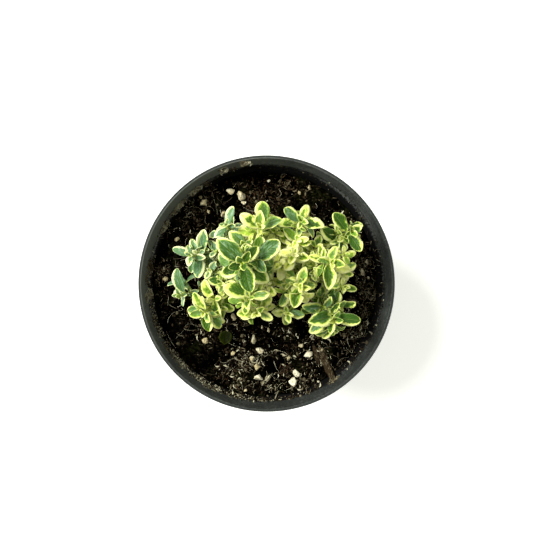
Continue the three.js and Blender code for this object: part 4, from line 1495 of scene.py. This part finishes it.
TWIG_LEAVES = [(0.66, 12), (0.42, 52)]  # for each pair of a twig's leaves, its share and its lift
TWIG_PAIR_STEP = 0.9
TWIG_RADII = (0.6 * SHOOT_RADIUS, 0.4 * SHOOT_RADIUS)
TWIG_AGE = 0.2
SPRAY_SEED = 500
WOBBLES = 7  # numbers that make each full leaf differ, drawn as they are for the plain solids
WOBBLE_SEED = 7001
WOBBLE_SEED_STEP = 97


def small_leaf(base, axes, heading, lift, length, draw):
    """A small leaf on a stem's axes, with some chance in its shape."""
    out, face = aimed(axes, heading, lift)
    width = length * LEAF_WIDTH * draw.uniform(0.85, 1.2)
    return Leaf(base, out, face, length, width, draw.uniform(0.05, 0.25), draw.uniform(0.1, 0.4))


def own_numbers(border, tint, draw):
    """A leaf's seed, border width and tint. Now and then a leaf is nearly all border."""
    width = border * draw.uniform(0.4, 1.6)
    if draw.random() < 0.2 * border:
        width *= 2.4
    return draw.random(), width, tint + draw.uniform(-0.25, 0.25)


def add_buds(pile, shoot, border, draw):
    """Young leaves that stand up between the first pair, at the tip."""
    base, axes = shoot.at_pair(0)
    for hand in (0, 1):
        rank_heading, rank_length = shoot.rank(0, hand)
        lift = math.radians(draw.uniform(66, 80))
        length = rank_length * BUD_SHARE * draw.uniform(0.75, 1.25)
        aim = math.radians(rank_heading) + 0.5 * math.pi + draw.uniform(-0.2, 0.2)
        bud = small_leaf(base, axes, aim, lift, length, draw)
        add_leaf(pile, bud, BUD_BLADE, own_numbers(0.4 * border, BUD_TINT, draw), draw)


def add_twigs(pile, shoot, k, border, tint, draw):
    """A short leafy twig out of each axil of a lower pair."""
    base, axes = shoot.at_pair(k)
    up = axes[2]
    for hand in (0, 1):
        rank_heading, rank_length = shoot.rank(k, hand)
        heading = math.radians(rank_heading + draw.uniform(-25, 25))
        growth = (outward(axes, heading) + up * draw.uniform(0.6, 1.2)).normalized()
        side = growth.cross(up).normalized()
        twig = Shoot(base, base + growth * (rank_length * draw.uniform(0.25, 0.6)))
        add_stem(pile, twig, *TWIG_RADII, TWIG_AGE)
        for number, (share, lift) in enumerate(TWIG_LEAVES):
            for turn in (0, math.pi):
                length = rank_length * share * draw.uniform(0.8, 1.25)
                aim = turn + number * 0.5 * math.pi + draw.uniform(-0.3, 0.3)
                place = twig.tip - growth * (TWIG_PAIR_STEP * (1 - number))
                angle = math.radians(lift + draw.uniform(-14, 14))
                twig_axes = (side, growth.cross(side), growth)
                leaf = small_leaf(place, twig_axes, aim, angle, length, draw)
                # twig leaves get the same paler, fresher look, partly painted fill light
                own = own_numbers(LOW_BORDER * border, tint + LOW_TINT, draw)
                add_leaf(pile, leaf, BUD_BLADE, own, draw)


def grow_spray(name, rows, index):
    """The shape of a spray: its stems, the leaves that its solid has, its buds and its twigs."""
    pile = Pile("stem", "leaf_place", "leaf_self", "leaf_more")
    draw = random.Random(SPRAY_SEED + index)
    wobbles = draws_from(WOBBLE_SEED + WOBBLE_SEED_STEP * index)
    solid = corner_tree(f"spray_{name}")
    border, tint, breadth, *twigs = SPRAY_LOOKS[name]
    twig_pair = twigs[0] if twigs else TWIG_PAIR
    for shoot in shoots_of(rows):
        main = shoot.is_main
        radius, age = (STEM_RADIUS, 1) if main else (FORK_RADIUS, FORK_AGE)
        add_stem(pile, shoot, radius, SHOOT_RADIUS, age)
        lowest = shoot.start.z + BARE_FOOT + (STEM_DEPTH if main else 0)
        for k in range(0 if main else 1, shoot.pairs):
            bare = shoot.tip.z - PAIR_DROP[k] < lowest
            for hand in (0, 1):
                wobble = [next(wobbles) for _ in range(WOBBLES)]
                leaf = None if bare else find_leaf(shoot, k, hand, wobble, solid)
                if leaf is None:
                    continue
                leaf.width *= breadth
                # Leaves low in the clump get wider borders and fresher green: partly age, partly
                # painted fill light for their shade.
                youth_and_fill = max(0, 0.45 - 0.25 * k) if k < 4 else LOW_TINT
                age_and_fill_widening = mix(1, LOW_BORDER, max(0, min(1, (k - 1) / 3)))
                own = own_numbers(border * age_and_fill_widening, tint + youth_and_fill, draw)
                add_leaf(pile, leaf, BLADE, own, draw)
            if k == 0:
                add_buds(pile, shoot, border, draw)
            if k >= twig_pair and not bare:
                add_twigs(pile, shoot, k, border, tint, draw)
    return pile.whole()


leaf_finishes = {name: leaf_finish(name, *colours) for name, colours in LEAF_COLOURS.items()}
slots = {part["node"]: part["material_slot"] for part in frame["record"]["subparts"]}
for index, (name, rows) in enumerate(SPRAYS.items()):
    node = f"spray_{name}"
    leaf_look = leaf_finishes["cream_and_brightened_leaf" if name in CREAM_AND_BRIGHTENED_SPRAYS else slots[node]]
    spray = finish_piece(f"thyme_{name}", grow_spray(name, rows, index), leaf_look, stem_finish)
    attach(spray, "root")
    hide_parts(node)

# ---------------------------------------------------------------- a fallen leaf
# One dropped leaf, dark and soggy, that lies flat on the mix in front of the clump. It is nearly
# as broad as it is long, and all of one dull green.

FALLEN_PLACE = (-19.0, -28.2)
FALLEN_HEADING = math.radians(80)
FALLEN_SIZE = 6.6
FALLEN_OWN = (0.5, 0.1, 0.55)  # its seed, its border's width and its tint
FALLEN_SEED = 9
FALLEN_COLOURS = [
    (0.0045, 0.0065, 0.0005), (0.022, 0.030, 0.0015),
    (0.016, 0.021, 0.0015), (0.009, 0.012, 0.0015), (0.01, 0.015, 0.002),
]

pile = Pile("leaf_place", "leaf_self", "leaf_more")
base = Vector((*FALLEN_PLACE, soil_top(*FALLEN_PLACE) + 0.7))
out = Vector((math.cos(FALLEN_HEADING), math.sin(FALLEN_HEADING), 0.05)).normalized()
face = (Vector((0.1, 0.05, 1)) - out * out.z).normalized()
leaf = Leaf(base, out, face, FALLEN_SIZE, FALLEN_SIZE, 0.1, 0.1)
add_leaf(pile, leaf, BLADE, FALLEN_OWN, random.Random(FALLEN_SEED))
fallen_look = leaf_finish("fallen_leaf", *FALLEN_COLOURS, bloom=-1, shine=0.02, young=0)
fallen_leaf = finish_piece("fallen_leaf", pile.whole(), fallen_look)
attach(fallen_leaf, "root")
